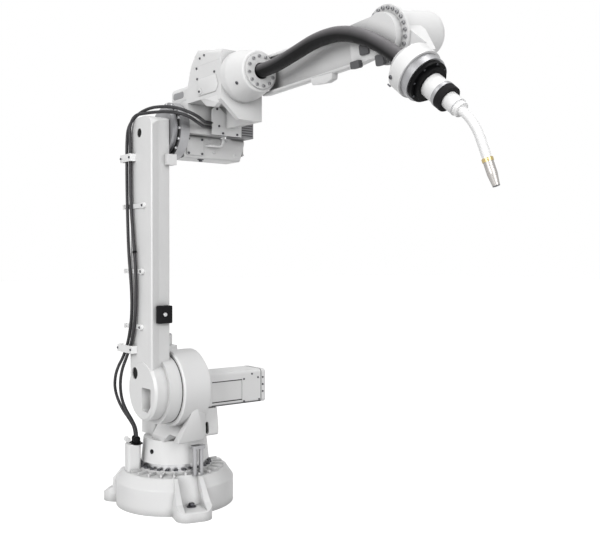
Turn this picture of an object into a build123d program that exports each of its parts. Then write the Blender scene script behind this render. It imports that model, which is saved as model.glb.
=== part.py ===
"""Six-axis welding robot with a hollow wrist: base, turret, lower arm, elbow, forearm, wrist and torch.

The frame stands on the floor under axis 1, with +X along the arm's reach, +Y to its left and +Z up.
Lengths are in millimetres and angles in degrees.
"""
import os
from math import cos, radians, sin, tan

from build123d import *

# Places of the axes and the pose at rest
axis2_reach = 150.0
axis2_height = 445.0
lower_arm_length = 900.0
axis4_rise = 150.0
forearm_length = 938.0
rest_roll = 10.0
rest_tilt = 41.0

# Gap between two faces that turn past each other
running_gap = 0.3

# Base casting
base_radius = 216.0
base_wall_height = 88.0
deck_radius = 190.0
deck_height = 126.0
collar_radius = 138.0
collar_height = 138.0
base_edge = 10.0
rib_count = 24
rib_width = 7.0
rib_drop = 3.0
foot_angles = (-14.5, 105.5, -134.5)
foot_reaches = (300.0, 266.0, 266.0)
foot_half_width = 64.0
foot_top_half_width = 52.0
toe_thickness = 30.0
toe_corner = 42.0
toe_run = 44.0
rail_height = 52.0
rail_width = 13.0
ramp_top = 150.0
ramp_foot = 206.0
foot_lap = 5.0
channel_lift = 4.0
bolt_circle_radius = 228.0
bolt_hole_radius = 9.0

# Slewing bearing and turret table
bearing_radius = 117.0
bearing_height = 20.0
table_radius = 125.0
table_height = 84.0
table_cone_angle = 6.0
table_hole_place = (36.0, 200.0)
table_hole_radius = 8.0

# Connector column and turning stop on the base
column_angle = -102.0
column_centre_radius = 160.0
column_depth = 50.0
column_width = 56.0
column_corner = 12.0
column_edge = 4.0
column_height = 224.0
gland_radius = 11.0
gland_height = 14.0
gland_pitch = 24.0
gland_inset = 12.0
stop_radius = 168.0
stop_rod_radius = 8.0
stop_rod_pitch = 26.0
stop_cap_height = 12.0
stop_cap_depth = 28.0
stop_cap_width = 50.0
stop_cap_corner = 6.0
stop_height = 232.0

# Shoulder: gear drum of axis 2 and its motor
drum_radius = 133.0
drum_near = -117.0
drum_far = -16.0
drum_edge = 5.0
shoulder_plate = 66.0
shoulder_cheek = 12.0
shoulder_radius = 118.0
shoulder_front = 76.0
lift_share = 0.237
corner_share = 0.4
shoulder_root = 57.0
saddle_width = 78.0
saddle_step = 14.0
saddle_lean = 20.0
saddle_cut = 60.0
saddle_setback = 12.0
slot_place = 4.0
slot_length = 42.0
slot_width = 12.0
slot_depth = 26.0
motor2_width = 122.0
motor2_drop = 15.0
motor2_shift = 5.0
motor2_length = 244.0
motor2_cap = 22.0
motor2_corner = 12.0
cap_edge = 3.0
panel_length = 128.0
panel_height = 76.0
panel_setback = 82.0
panel_drop = 8.0
panel_depth = 3.0
motor1_width = 104.0
motor1_height = 330.0
motor1_cap = 40.0
motor1_cap_step = 4.0
motor1_place = (-76.0, -25.0)

# Lower arm
arm_outer = -210.0
arm_inner = -132.0
arm_rear = 94.0
arm_rear_top = 78.0
arm_front = 72.0
arm_bevel_depth = 33.0
arm_bevel_step = 10.0
arm_front_lean = 7.0
arm_edge = 5.0
arm_top = 40.0
arm_top_corner = 46.0
hub_radius = 119.0
hub_face = -165.0
arm_foot_face = -212.0
arm_foot_radius = 104.0
arm_foot_edge = 8.0
arm_holes = (((-51.0, 55.0), 21.0), ((-18.0, 887.0), 16.0))
arm_hole_depth = 40.0
pocket_corners = ((0.0, 12.0), (70.0, 12.0), (68.0, -46.0), (44.0, -72.0), (4.0, -68.0))
pocket_corner = 8.0
pocket_depth = 30.0
bumper_height = 264.0
bumper_width = 54.0
bumper_length = 60.0
bumper_stand = 8.0
bumper_corner = 4.0
arm_stop_gap = 12.0
arm_stop_size = 36.0
arm_stop_overhang = 14.0

# Cables: diameter, and their line along the rear edge of the lower arm, each as (x, z) from axis 2
cable_diameter = 12.0
cable_gap = 0.3
cable_line = -220.0
bend_share = 0.45
cable_waists = (
    ((-86.0, 125.0), (-62.0, 157.0), (-33.0, 235.0), (-25.0, 311.0), (-25.0, 397.0), (-36.0, 477.0), (-65.0, 641.0),
     (-68.0, 818.0)),
    ((-112.0, 125.0), (-88.0, 157.0), (-61.0, 235.0), (-56.0, 311.0), (-67.0, 397.0), (-82.0, 477.0), (-92.0, 641.0),
     (-95.0, 818.0)),
)
gland_rise = 36.0
cable_lead = 30.0

# Clamps over both cables, as (left, right, height), and the straps behind the cables with their bosses
clamp_spans = ((-150.0, -38.0, 138.0), (-122.0, -46.0, 805.0))
clamp_length = 26.0
clamp_depth = 22.0
clamp_wall = 4.5
strap_spans = ((-108.0, 1.0, 218.0), (-108.0, 9.0, 410.0), (-117.0, 21.0, 636.0))
strap_width = 16.0
strap_thickness = 3.5
strap_lip = 8.0
strap_lip_depth = 12.0
boss_radius = 10.0
boss_depth = 10.0

# Elbow
elbow_disc_radius = 78.0
elbow_seal_radius = 86.0
elbow_flange_radius = 99.0
elbow_disc_depth = 13.0
elbow_seal_depth = 7.0
elbow_flange_depth = 34.0
elbow_width = 160.0
elbow_floor = -12.0
elbow_front = 301.0
elbow_rear = 75.0
elbow_crown = 260.0
elbow_crown_corner = 50.0
elbow_cavity = 88.0
elbow_back_heights = (56.0, 96.0, 100.0)
elbow_back_shoulder = 20.0
crown_steps = ((6.0, 128.0), (26.0, 66.0), (48.0, 15.0), (68.0, 0.0))
cavity_step = 10.0
cavity_clearance = 8.0
apron_cut = (-9.0, 72.0)
elbow_apron_depth = 20.0
elbow_apron_floor = 12.0
motor3_width = 100.0
motor3_height = 80.0
motor3_front = 44.0
motor3_near = -70.0
motor3_length = 250.0
motor3_foot = 18.0
motor3_corner = 8.0
motor4_width = 76.0
motor4_height = 66.0
motor4_lift = 138.0
motor4_length = 175.0
motor4_corner = 22.0
bracket_thickness = 4.0
bracket_near = 8.0
bracket_stand = 25.0
bracket_lap = 2.0
bracket_corner = 14.0
bracket_waist = 45.0
vent_setback = 52.0
vent_width = 58.0
vent_height = 54.0
vent_depth = 100.0
vent_corner = 5.0
vent_heights = (25.0, 40.0)
cable_setback = 18.0
vent_inset = 18.0

# Forearm
hub4_radius = 83.0
hub4_tip_radius = 66.0
hub4_length = 108.0
hub4_band = 30.0
hub4_round = 6.0
ring_radius = 56.0
ring_depth = 7.0
hose_diameter = 44.0
hose_gap = 4.0
hose_socket_depth = 40.0
hose_places = ((70.0, 0.0, 0.0), (190.0, -2.0, 18.0), (310.0, -2.0, 38.0), (435.0, -2.0, 30.0))
hose_lead = 86.0
beam_root = (40.0, 82.0, 52.0, 72.0)
beam_end = (28.0, 61.0, 50.0, 62.0)
beam_overlap = 62.0
beam_round = 8.0
beam_wall = 10.0
beam_setback = 125.0
end_waist = 54.0
end_plate_radius = 80.0
end_plate_depth = 9.0
end_boss_radius = 60.0
end_boss_near = 27.0

# Wrist
tilt_face = 61.4
tilt_hub_radius = 64.0
tilt_hub_length = 170.0
tilt_hub_round = 30.0
neck_depth = 60.0
neck_half_height = 50.0
neck_shoulder = 60.0
neck_finish = 40.0
wrist_drum_radius = 68.0
wrist_drum_rear = 134.0
wrist_drum_length = 67.0
wrist_drum_round = 26.0

# Torch
flange_radius = 62.0
flange_depth = 25.0
disc_radius = 57.0
disc_depth = 22.0
disc_step = 10.0
torch_radius = 33.0
torch_length = 42.0
collar_ring_radius = 35.0
collar_ring_depth = 26.0
shank_radius = 23.0
shank_length = 36.0
nut_radius = 20.5
nut_depth = 12.0
neck_radius = 12.0
neck_straight = 49.0
neck_bend_angle = 34.0
neck_bend_radius = 150.0
neck_reach = 94.0
brass_radius = 14.5
brass_depth = 9.0
nozzle_radius = 13.0
nozzle_tip_radius = 9.0
nozzle_length = 62.0
nozzle_bore = 6.0


def turn(angle):
    """Unit direction on the floor at an angle from +X."""
    return (cos(radians(angle)), sin(radians(angle)), 0)


def across(frame, distance):
    """Plane square to a frame's x axis: sketch x is the frame's y, and sketch y is its z."""
    return Plane(frame.from_local_coords((distance, 0, 0)), x_dir=frame.y_dir, z_dir=frame.x_dir)


def beside(frame, offset):
    """Plane square to a frame's y axis, facing -y: sketch x is the frame's x, and sketch y is its z."""
    return Plane(frame.from_local_coords((0, offset, 0)), x_dir=frame.x_dir, z_dir=-frame.y_dir)


def above(frame, height):
    """Plane level with a frame's floor, at a height over it."""
    return Plane(frame.from_local_coords((0, 0, height)), x_dir=frame.x_dir, z_dir=frame.z_dir)


def line_of(frame):
    """A frame's x axis as a line to turn round."""
    return Axis(frame.origin, frame.x_dir)


def hinge_of(frame):
    """A frame's y axis as a line to turn round."""
    return Axis(frame.origin, frame.y_dir)


def bend_radii(name, points):
    """Radii of a cord's bends, each as large as the two runs beside it allow."""
    radii = []
    for before, corner, after in zip(points, points[1:], points[2:]):
        arriving = Vector(corner) - Vector(before)
        leaving = Vector(after) - Vector(corner)
        half_turn = radians(arriving.get_angle(leaving)) / 2
        radii.append(bend_share * min(arriving.length, leaving.length) / tan(half_turn))
    print(name, "bend radii", [round(radius) for radius in radii])
    return radii


# Frames that the bodies are modelled in, at the pose at rest
SHOULDER = Plane((axis2_reach, 0, axis2_height))
ELBOW = Plane((axis2_reach, 0, axis2_height + lower_arm_length))
FOREARM = Plane(
    ELBOW.from_local_coords((0, 0, axis4_rise)),
    x_dir=ELBOW.x_dir,
    z_dir=(0, -sin(radians(rest_roll)), cos(radians(rest_roll))),
)
WRIST = Plane(
    FOREARM.from_local_coords((forearm_length, 0, 0)),
    x_dir=FOREARM.x_dir * cos(radians(rest_tilt)) - FOREARM.z_dir * sin(radians(rest_tilt)),
    z_dir=FOREARM.x_dir * sin(radians(rest_tilt)) + FOREARM.z_dir * cos(radians(rest_tilt)),
)
NECK_END = Plane(
    WRIST.origin,
    x_dir=WRIST.x_dir * cos(radians(neck_bend_angle)) - WRIST.z_dir * sin(radians(neck_bend_angle)),
    z_dir=WRIST.x_dir * sin(radians(neck_bend_angle)) + WRIST.z_dir * cos(radians(neck_bend_angle)),
)

os.makedirs("parts", exist_ok=True)

# Feet of the base: a tapered block that leans against the wall, and the channel cut down it to the toe
feet = []
channels = []
for direction, reach in zip(foot_angles, foot_reaches):
    SIDE = Plane((0, 0, 0), x_dir=turn(direction), z_dir=turn(direction - 90))
    with BuildPart() as foot:
        with BuildSketch(SIDE):
            Polygon(
                (0, 0),
                (reach, 0),
                (reach, toe_thickness),
                (reach - toe_run, rail_height),
                (base_radius + foot_lap, base_wall_height),
                (deck_radius, deck_height),
                (0, deck_height),
                align=None,
            )
        extrude(amount=foot_half_width, both=True)
        with BuildSketch(Plane((0, 0, 0), x_dir=turn(direction))) as print_sketch:
            with Locations((reach / 2, 0)):
                Rectangle(reach, 2 * foot_half_width)
            fillet(print_sketch.vertices().group_by(Axis.X)[-1], toe_corner)
        extrude(amount=deck_height, mode=Mode.INTERSECT)
        with BuildSketch(across(SIDE, 0)):
            Polygon(
                (0, foot_half_width),
                (0, -foot_half_width),
                (toe_thickness, -foot_half_width),
                (deck_height, -foot_top_half_width),
                (deck_height, foot_top_half_width),
                (toe_thickness, foot_half_width),
                align=None,
            )
        extrude(amount=reach, mode=Mode.INTERSECT)
    feet.append(foot.part)
    with BuildPart() as channel:
        with BuildSketch(SIDE):
            Polygon(
                (ramp_top, collar_height),
                (ramp_foot, toe_thickness + channel_lift),
                (2 * reach, toe_thickness + channel_lift),
                (2 * reach, collar_height),
                align=None,
            )
        extrude(amount=foot_top_half_width - rail_width, both=True)
    channels.append(channel.part)

# Base casting: ribbed deck, sloped shoulder, round wall and three feet
with BuildPart() as base_casting:
    with BuildSketch(Plane.XZ) as base_section:
        Polygon(
            (0, 0),
            (base_radius, 0),
            (base_radius, base_wall_height),
            (deck_radius, deck_height),
            (collar_radius, deck_height),
            (collar_radius, collar_height),
            (0, collar_height),
            align=None,
        )
        fillet(base_section.vertices().filter_by(lambda v: v.X > collar_radius and v.Y > 0), base_edge)
    revolve(axis=Axis.Z)
    with BuildSketch(Plane.XY.offset(deck_height)):
        with PolarLocations((collar_radius + deck_radius) / 2 - rib_width, rib_count):
            Rectangle(deck_radius - collar_radius - rib_width, rib_width)
    extrude(amount=collar_height - rib_drop - deck_height)
    add(feet)
    add(channels, mode=Mode.SUBTRACT)
    with Locations(Plane.XY.offset(collar_height)):
        for direction in foot_angles:
            with PolarLocations(bolt_circle_radius, 1, start_angle=direction):
                Hole(bolt_hole_radius)
base_casting.part.label = "base_casting"
export_step(base_casting.part, "parts/base_casting.step")

# Slewing bearing ring bolted on the collar
with BuildPart() as bearing_ring:
    with BuildSketch(Plane.XY.offset(collar_height)):
        Circle(bearing_radius)
    extrude(amount=bearing_height)
bearing_ring.part.label = "bearing_ring"
export_step(bearing_ring.part, "parts/bearing_ring.step")

# Connector column on the deck
COLUMN = Plane(Vector(*turn(column_angle)) * column_centre_radius, x_dir=turn(column_angle))
with BuildPart() as connector_column:
    with BuildSketch(above(COLUMN, base_wall_height)):
        RectangleRounded(column_depth, column_width, column_corner)
    extrude(amount=column_height - base_wall_height)
    fillet(connector_column.edges().group_by(Axis.Z)[-1], column_edge)
    add(base_casting.part, mode=Mode.SUBTRACT)
connector_column.part.label = "connector_column"
export_step(connector_column.part, "parts/connector_column.step")

# Cable glands on top of the column
with BuildPart() as cable_glands:
    with BuildSketch(above(COLUMN, column_height)):
        with Locations((-gland_inset, 0)):
            with GridLocations(1, gland_pitch, 1, 2):
                Circle(gland_radius)
    extrude(amount=gland_height)
cable_glands.part.label = "cable_glands"
export_step(cable_glands.part, "parts/cable_glands.step")

# Turning stop: two rods on the deck under a cap
with BuildPart() as turning_stop:
    with BuildSketch(Plane.XY.offset(deck_height)):
        with Locations((stop_radius, 0)):
            with GridLocations(1, stop_rod_pitch, 1, 2):
                Circle(stop_rod_radius)
    extrude(amount=stop_height - deck_height)
    with BuildSketch(Plane.XY.offset(stop_height)):
        with Locations((stop_radius, 0)):
            RectangleRounded(stop_cap_depth, stop_cap_width, stop_cap_corner)
    extrude(amount=-stop_cap_height)
    add(base_casting.part, mode=Mode.SUBTRACT)
turning_stop.part.label = "turning_stop"
export_step(turning_stop.part, "parts/turning_stop.step")

# Turret table that turns on the bearing
table_floor = collar_height + bearing_height + running_gap
table_top = table_floor + table_height
with BuildPart() as turret_table:
    with BuildSketch(Plane.XY.offset(table_floor)):
        Circle(table_radius)
    extrude(amount=table_height, taper=table_cone_angle)
    with BuildSketch(beside(Plane.XY, -table_radius / 2)):
        with Locations(table_hole_place):
            Circle(table_hole_radius)
    extrude(amount=table_radius, mode=Mode.SUBTRACT)
turret_table.part.label = "turret_table"
export_step(turret_table.part, "parts/turret_table.step")

# Shoulder casting: block under the motor, cheek between the drum and the motor, and the saddle under the drum
motor2_face = axis2_reach + motor2_shift + motor2_width / 2
motor2_floor = axis2_height - motor2_drop - motor2_width / 2
shoulder_lift = (motor2_floor - table_top) * lift_share
shoulder_corner = shoulder_lift * corner_share
with BuildPart() as shoulder_casting:
    with BuildSketch(beside(Plane.XY, drum_far + shoulder_plate)) as block_sketch:
        Polygon(
            (shoulder_root - shoulder_radius / 2, table_top),
            (shoulder_root + shoulder_lift, table_top),
            (shoulder_root + 2 * shoulder_lift, table_top + shoulder_lift),
            (axis2_reach + shoulder_front, table_top + shoulder_lift),
            (axis2_reach + shoulder_front, table_top + 2 * shoulder_lift),
            (motor2_face, motor2_floor),
            (axis2_reach - shoulder_radius, motor2_floor),
            align=None,
        )
        fillet(block_sketch.vertices().group_by(Axis.X)[-1], shoulder_corner)
    extrude(amount=shoulder_plate)
    with BuildSketch(beside(Plane.XY, drum_far + shoulder_cheek)):
        Polygon(
            (axis2_reach - shoulder_radius, motor2_floor),
            (motor2_face, motor2_floor),
            (axis2_reach + shoulder_radius / 2, axis2_height),
            (axis2_reach - shoulder_radius, axis2_height),
            align=None,
        )
        with Locations((axis2_reach, axis2_height)):
            Circle(shoulder_radius)
    extrude(amount=shoulder_cheek)
    with BuildSketch(beside(Plane.XY, drum_far)):
        Polygon(
            (shoulder_root - shoulder_radius / 2, table_top),
            (shoulder_root + shoulder_lift, table_top),
            (shoulder_root + 2 * shoulder_lift, table_top + shoulder_lift),
            (axis2_reach + shoulder_front / 2, table_top + shoulder_lift),
            (axis2_reach + shoulder_front - saddle_setback, axis2_height - saddle_cut),
            (axis2_reach - shoulder_radius, axis2_height - saddle_cut),
            align=None,
        )
        with Locations((axis2_reach, axis2_height)):
            Circle(drum_radius, mode=Mode.SUBTRACT)
    extrude(amount=saddle_width)
    with BuildSketch(across(Plane.XY, axis2_reach - drum_radius - saddle_width)):
        Polygon(
            (drum_far - saddle_width, table_top + saddle_step),
            (drum_far - saddle_lean, axis2_height - drum_radius / 2),
            (drum_far - 2 * saddle_width, axis2_height - drum_radius / 2),
            (drum_far - 2 * saddle_width, table_top + saddle_step),
            align=None,
        )
    extrude(amount=4 * drum_radius, mode=Mode.SUBTRACT)
    with BuildSketch(across(Plane.XY, axis2_reach + shoulder_front)):
        with Locations((slot_place, table_top + 2 * shoulder_lift)):
            SlotOverall(slot_length, slot_width, rotation=90)
    extrude(amount=-slot_depth, mode=Mode.SUBTRACT)
shoulder_casting.part.label = "shoulder_casting"
export_step(shoulder_casting.part, "parts/shoulder_casting.step")

# Gear drum of axis 2
with BuildPart() as axis2_drum:
    with BuildSketch(beside(SHOULDER, drum_far)):
        Circle(drum_radius)
    extrude(amount=drum_far - drum_near)
    chamfer(axis2_drum.edges().group_by(Axis.Y)[0], drum_edge)
axis2_drum.part.label = "axis2_drum"
export_step(axis2_drum.part, "parts/axis2_drum.step")

# Motor of axis 2 and its end cap
motor2_root = drum_far + shoulder_cheek
with BuildPart() as axis2_motor:
    with BuildSketch(beside(SHOULDER, motor2_root + motor2_length)):
        with Locations((motor2_shift, -motor2_drop)):
            RectangleRounded(motor2_width, motor2_width, motor2_corner)
    extrude(amount=motor2_length)
    with BuildSketch(across(SHOULDER, motor2_shift + motor2_width / 2)):
        with Locations((motor2_root + motor2_length - panel_setback - panel_length / 2, -motor2_drop - panel_drop)):
            Rectangle(panel_length, panel_height)
    extrude(amount=-panel_depth, mode=Mode.SUBTRACT)
axis2_motor.part.label = "axis2_motor"
export_step(axis2_motor.part, "parts/axis2_motor.step")

with BuildPart() as axis2_motor_cap:
    with BuildSketch(beside(SHOULDER, motor2_root + motor2_length + motor2_cap)):
        with Locations((motor2_shift, -motor2_drop)):
            RectangleRounded(motor2_width, motor2_width, motor2_corner)
    extrude(amount=motor2_cap)
    chamfer(axis2_motor_cap.edges().group_by(Axis.Y)[-1], cap_edge)
axis2_motor_cap.part.label = "axis2_motor_cap"
export_step(axis2_motor_cap.part, "parts/axis2_motor_cap.step")

# Motor of axis 1, standing on the table behind the shoulder
with BuildPart() as axis1_motor:
    with BuildSketch(Plane.XY.offset(table_top)):
        with Locations(motor1_place):
            RectangleRounded(motor1_width, motor1_width, motor2_corner)
    extrude(amount=motor1_height)
    with BuildSketch(Plane.XY.offset(table_top + motor1_height)):
        with Locations(motor1_place):
            Circle(motor1_width / 2 - motor1_cap_step)
    extrude(amount=motor1_cap)
axis1_motor.part.label = "axis1_motor"
export_step(axis1_motor.part, "parts/axis1_motor.step")

# Lower arm hub that turns on the drum's face
with BuildPart() as lower_arm_hub:
    with BuildSketch(beside(SHOULDER, drum_near - running_gap)):
        Circle(hub_radius)
    extrude(amount=drum_near - running_gap - hub_face)
lower_arm_hub.part.label = "lower_arm_hub"
export_step(lower_arm_hub.part, "parts/lower_arm_hub.step")

# Lower arm casting: bevelled column, narrower at its top, over a round foot
with BuildPart() as lower_arm_casting:
    with BuildSketch(SHOULDER) as arm_section:
        Polygon(
            (-arm_rear, arm_outer),
            (arm_front, arm_outer),
            (arm_front - arm_bevel_step, arm_outer + arm_bevel_depth),
            (arm_front - arm_bevel_step - arm_front_lean, arm_inner),
            (-arm_rear + arm_bevel_step, arm_inner),
            align=None,
        )
        fillet(arm_section.vertices(), arm_edge)
    extrude(amount=lower_arm_length + arm_top)
    with BuildSketch(beside(SHOULDER, arm_inner)) as arm_side:
        Polygon(
            (-arm_rear, 0),
            (arm_front, 0),
            (arm_front, lower_arm_length + arm_top),
            (-arm_rear_top, lower_arm_length + arm_top),
            align=None,
        )
        fillet(arm_side.vertices().group_by(Axis.Y)[-1], arm_top_corner)
    extrude(amount=arm_inner - arm_outer, mode=Mode.INTERSECT)
    with BuildSketch(across(SHOULDER, 0)):
        Polygon(
            (arm_foot_face, 0),
            (arm_foot_face, arm_foot_radius - arm_foot_edge),
            (arm_foot_face + arm_foot_edge, arm_foot_radius),
            (hub_face, arm_foot_radius),
            (hub_face, 0),
            align=None,
        )
    revolve(axis=hinge_of(SHOULDER))
    with BuildSketch(beside(SHOULDER, 0)):
        Circle(hub_radius)
    extrude(amount=-hub_face, mode=Mode.SUBTRACT)
    with BuildSketch(beside(SHOULDER, arm_outer + arm_hole_depth)):
        for place, radius in arm_holes:
            with Locations(place):
                Circle(radius)
    extrude(amount=2 * arm_hole_depth, mode=Mode.SUBTRACT)
    with BuildSketch(beside(SHOULDER, arm_foot_face + pocket_depth)) as pocket_sketch:
        Polygon(*pocket_corners, align=None)
        fillet(pocket_sketch.vertices(), pocket_corner)
    extrude(amount=2 * pocket_depth, mode=Mode.SUBTRACT)
lower_arm_casting.part.label = "lower_arm_casting"
export_step(lower_arm_casting.part, "parts/lower_arm_casting.step")

# Rubber bumper on the front of the lower arm
with BuildPart() as arm_bumper:
    with BuildSketch(across(SHOULDER, arm_front + bumper_stand)):
        with Locations(((arm_outer + arm_bevel_depth / 2 + arm_inner) / 2, bumper_height)):
            RectangleRounded(bumper_width, bumper_length, bumper_corner)
    extrude(amount=-bumper_stand - arm_bevel_step - arm_front_lean)
    add(lower_arm_casting.part, mode=Mode.SUBTRACT)
arm_bumper.part.label = "arm_bumper"
export_step(arm_bumper.part, "parts/arm_bumper.step")

# Stop block for axis 3 near the top of the lower arm, clear of the elbow's disc
arm_stop_height = lower_arm_length - elbow_disc_radius - arm_stop_gap - arm_stop_size / 2
with BuildPart() as elbow_stop:
    with BuildSketch(across(SHOULDER, arm_front + bumper_stand)):
        with Locations((arm_inner + arm_stop_overhang - arm_stop_size / 2, arm_stop_height)):
            Rectangle(arm_stop_size, arm_stop_size)
    extrude(amount=-bumper_stand - arm_bevel_step - arm_front_lean - arm_stop_overhang)
    add(lower_arm_casting.part, mode=Mode.SUBTRACT)
elbow_stop.part.label = "elbow_stop"
export_step(elbow_stop.part, "parts/elbow_stop.step")

# Where the vent box begins on the motor of axis 3, and the width of the bracket that reaches to it
vent_near = motor3_near + motor3_length - vent_setback
bracket_width = vent_near + bracket_lap - bracket_near

# Cable routes: up from the glands, along the rear edge of the lower arm, and over axis 3 to the vent box
shoulder_bows = (
    [(-161, -170, -130), (-181, -184, -96), (-190, -196, -58), (-182, -206, -14), (-164, -213, 28), (-136, -218, 66)],
    [(-182, -170, -130), (-206, -182, -102), (-230, -192, -66), (-238, -202, -22), (-214, -211, 26), (-172, -218, 68)],
)
elbow_bows = (
    [(-70, -222, 14), (-46, -214, 52), (-5, -193, 55), (38, -174, 55), (80, -158, 52), (126, -138, 44),
     (154, -110, 30), (148, -78, 16), (120, -44, 12)],
    [(-86, -216, 22), (-48, -200, 58), (11, -184, 72), (64, -166, 71), (105, -150, 65), (140, -138, 56),
     (164, -112, 42), (162, -78, 30), (130, -44, 27)],
)
shoulder_routes = []
arm_routes = []
elbow_routes = []
for strand in range(2):
    waists = [SHOULDER.from_local_coords((x, cable_line, z)) for x, z in cable_waists[strand]]
    low = waists[0]
    high = waists[-1]
    slope = (waists[1] - low).normalized() * cable_lead
    rise = Vector(0, 0, 2 * cable_lead)
    gland = COLUMN.from_local_coords((-gland_inset, (0.5 - strand) * gland_pitch, column_height + gland_height))
    socket = ELBOW.from_local_coords((elbow_rear + vent_inset, vent_near, elbow_floor + vent_heights[strand]))
    socket = socket - (0, cable_gap, 0)
    shoulder_bow = [SHOULDER.from_local_coords(place) for place in shoulder_bows[strand]]
    elbow_bow = [ELBOW.from_local_coords(place) for place in elbow_bows[strand]]
    shoulder_routes.append([gland, gland + (0, 0, gland_rise), *shoulder_bow, low - slope, low])
    arm_routes.append([*waists[:-1], high - rise, high])
    corner = Vector(socket.X, bracket_near - cable_setback, socket.Z)
    elbow_routes.append([high, high + rise, *elbow_bow, corner, socket])

# Clamps that bridge both cables, and straps behind the cables, each with a lip and a boss
with BuildPart() as cable_clamps:
    for left, right, height in clamp_spans:
        with BuildSketch(above(SHOULDER, height - clamp_length / 2)):
            with Locations(((left + right) / 2, arm_outer - clamp_depth / 2)):
                Rectangle(right - left, clamp_depth)
            with Locations(((left + right) / 2, arm_outer - (clamp_depth - clamp_wall) / 2)):
                Rectangle(right - left - 2 * clamp_wall, clamp_depth - clamp_wall, mode=Mode.SUBTRACT)
        extrude(amount=clamp_length)
    for left, right, height in strap_spans:
        with BuildSketch(beside(SHOULDER, arm_outer)):
            with Locations(((left + right) / 2, height)):
                Rectangle(right - left, strap_width)
        extrude(amount=strap_thickness)
        with BuildSketch(beside(SHOULDER, arm_outer)):
            with Locations((left - strap_lip / 2, height)):
                Rectangle(strap_lip, strap_width)
        extrude(amount=strap_lip_depth)
        with BuildSketch(beside(SHOULDER, arm_outer)):
            with Locations((right, height)):
                Circle(boss_radius)
        extrude(amount=boss_depth)
cable_clamps.part.label = "cable_clamps"
export_step(cable_clamps.part, "parts/cable_clamps.step")

# Cables along the lower arm
with BuildPart() as arm_cables:
    for route in arm_routes:
        with BuildLine() as run:
            FilletPolyline(*route, radius=bend_radii("arm_cables", route))
        with BuildSketch(Plane(route[0], z_dir=route[1] - route[0])):
            Circle(cable_diameter / 2)
        sweep(path=run.wire())
arm_cables.part.label = "arm_cables"
export_step(arm_cables.part, "parts/arm_cables.step")

# Cable loops between the glands and the main clamp
with BuildPart() as shoulder_cables:
    for route in shoulder_routes:
        with BuildLine() as run:
            FilletPolyline(*route, radius=bend_radii("shoulder_cables", route))
        with BuildSketch(Plane(route[0], z_dir=Vector(route[1]) - route[0])):
            Circle(cable_diameter / 2)
        sweep(path=run.wire())
shoulder_cables.part.label = "shoulder_cables"
export_step(shoulder_cables.part, "parts/shoulder_cables.step")

# Cable loops over axis 3
with BuildPart() as elbow_cables:
    for route in elbow_routes:
        with BuildLine() as run:
            FilletPolyline(*route, radius=bend_radii("elbow_cables", route))
        with BuildSketch(Plane(route[0])):
            Circle(cable_diameter / 2)
        sweep(path=run.wire())
elbow_cables.part.label = "elbow_cables"
export_step(elbow_cables.part, "parts/elbow_cables.step")

# Elbow flange stack that turns on the lower arm
flange_near = arm_inner + running_gap
seal_near = flange_near + elbow_disc_depth
rim_near = seal_near + elbow_seal_depth
elbow_near = rim_near + elbow_flange_depth
with BuildPart() as elbow_flange:
    with BuildSketch(across(ELBOW, 0)):
        Polygon(
            (flange_near, 0),
            (flange_near, elbow_disc_radius),
            (seal_near, elbow_disc_radius),
            (seal_near, elbow_seal_radius),
            (rim_near, elbow_seal_radius),
            (rim_near, elbow_flange_radius),
            (elbow_near, elbow_flange_radius),
            (elbow_near, 0),
            align=None,
        )
    revolve(axis=hinge_of(ELBOW))
elbow_flange.part.label = "elbow_flange"
export_step(elbow_flange.part, "parts/elbow_flange.step")

# Elbow housing: side profile, trimmed to a section with a rounded crown
with BuildPart() as elbow_housing:
    with BuildSketch(beside(ELBOW, elbow_near + elbow_width)):
        Polygon(
            (-elbow_rear, elbow_floor),
            (-elbow_rear, elbow_back_heights[0]),
            (-elbow_back_shoulder, elbow_back_heights[1]),
            (elbow_rear, elbow_back_heights[2]),
            *[(elbow_rear + out, elbow_crown - down) for out, down in crown_steps],
            (elbow_front, axis4_rise + hub4_radius),
            (elbow_front, elbow_apron_floor),
            (elbow_front - elbow_apron_depth, elbow_apron_floor),
            (elbow_front - elbow_apron_depth, elbow_cavity),
            (elbow_rear + cavity_step, elbow_cavity),
            (elbow_rear + cavity_step, elbow_floor),
            align=None,
        )
    extrude(amount=elbow_width)
    with BuildSketch(across(ELBOW, -elbow_rear)) as crown_sketch:
        with Locations((elbow_near + elbow_width / 2, (elbow_floor + elbow_crown) / 2)):
            Rectangle(elbow_width, elbow_crown - elbow_floor)
        fillet(crown_sketch.vertices().group_by(Axis.Y)[-1], elbow_crown_corner)
    extrude(amount=elbow_rear + elbow_front, mode=Mode.INTERSECT)
    with BuildSketch(across(ELBOW, elbow_front)):
        Polygon(
            (apron_cut[0], 0),
            (apron_cut[0], elbow_apron_floor),
            (elbow_near, apron_cut[1]),
            (2 * elbow_near, apron_cut[1]),
            (2 * elbow_near, 0),
            align=None,
        )
    extrude(amount=-elbow_apron_depth, mode=Mode.SUBTRACT)
    with BuildSketch(beside(ELBOW, elbow_near + elbow_width)):
        Polygon(
            (elbow_rear + bracket_stand + bracket_thickness + cavity_clearance, elbow_apron_floor),
            (elbow_front, elbow_apron_floor),
            (elbow_front, elbow_cavity),
            (elbow_rear + bracket_stand + bracket_thickness + cavity_clearance, elbow_cavity),
            align=None,
        )
    extrude(amount=elbow_apron_depth)
elbow_housing.part.label = "elbow_housing"
export_step(elbow_housing.part, "parts/elbow_housing.step")

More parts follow.
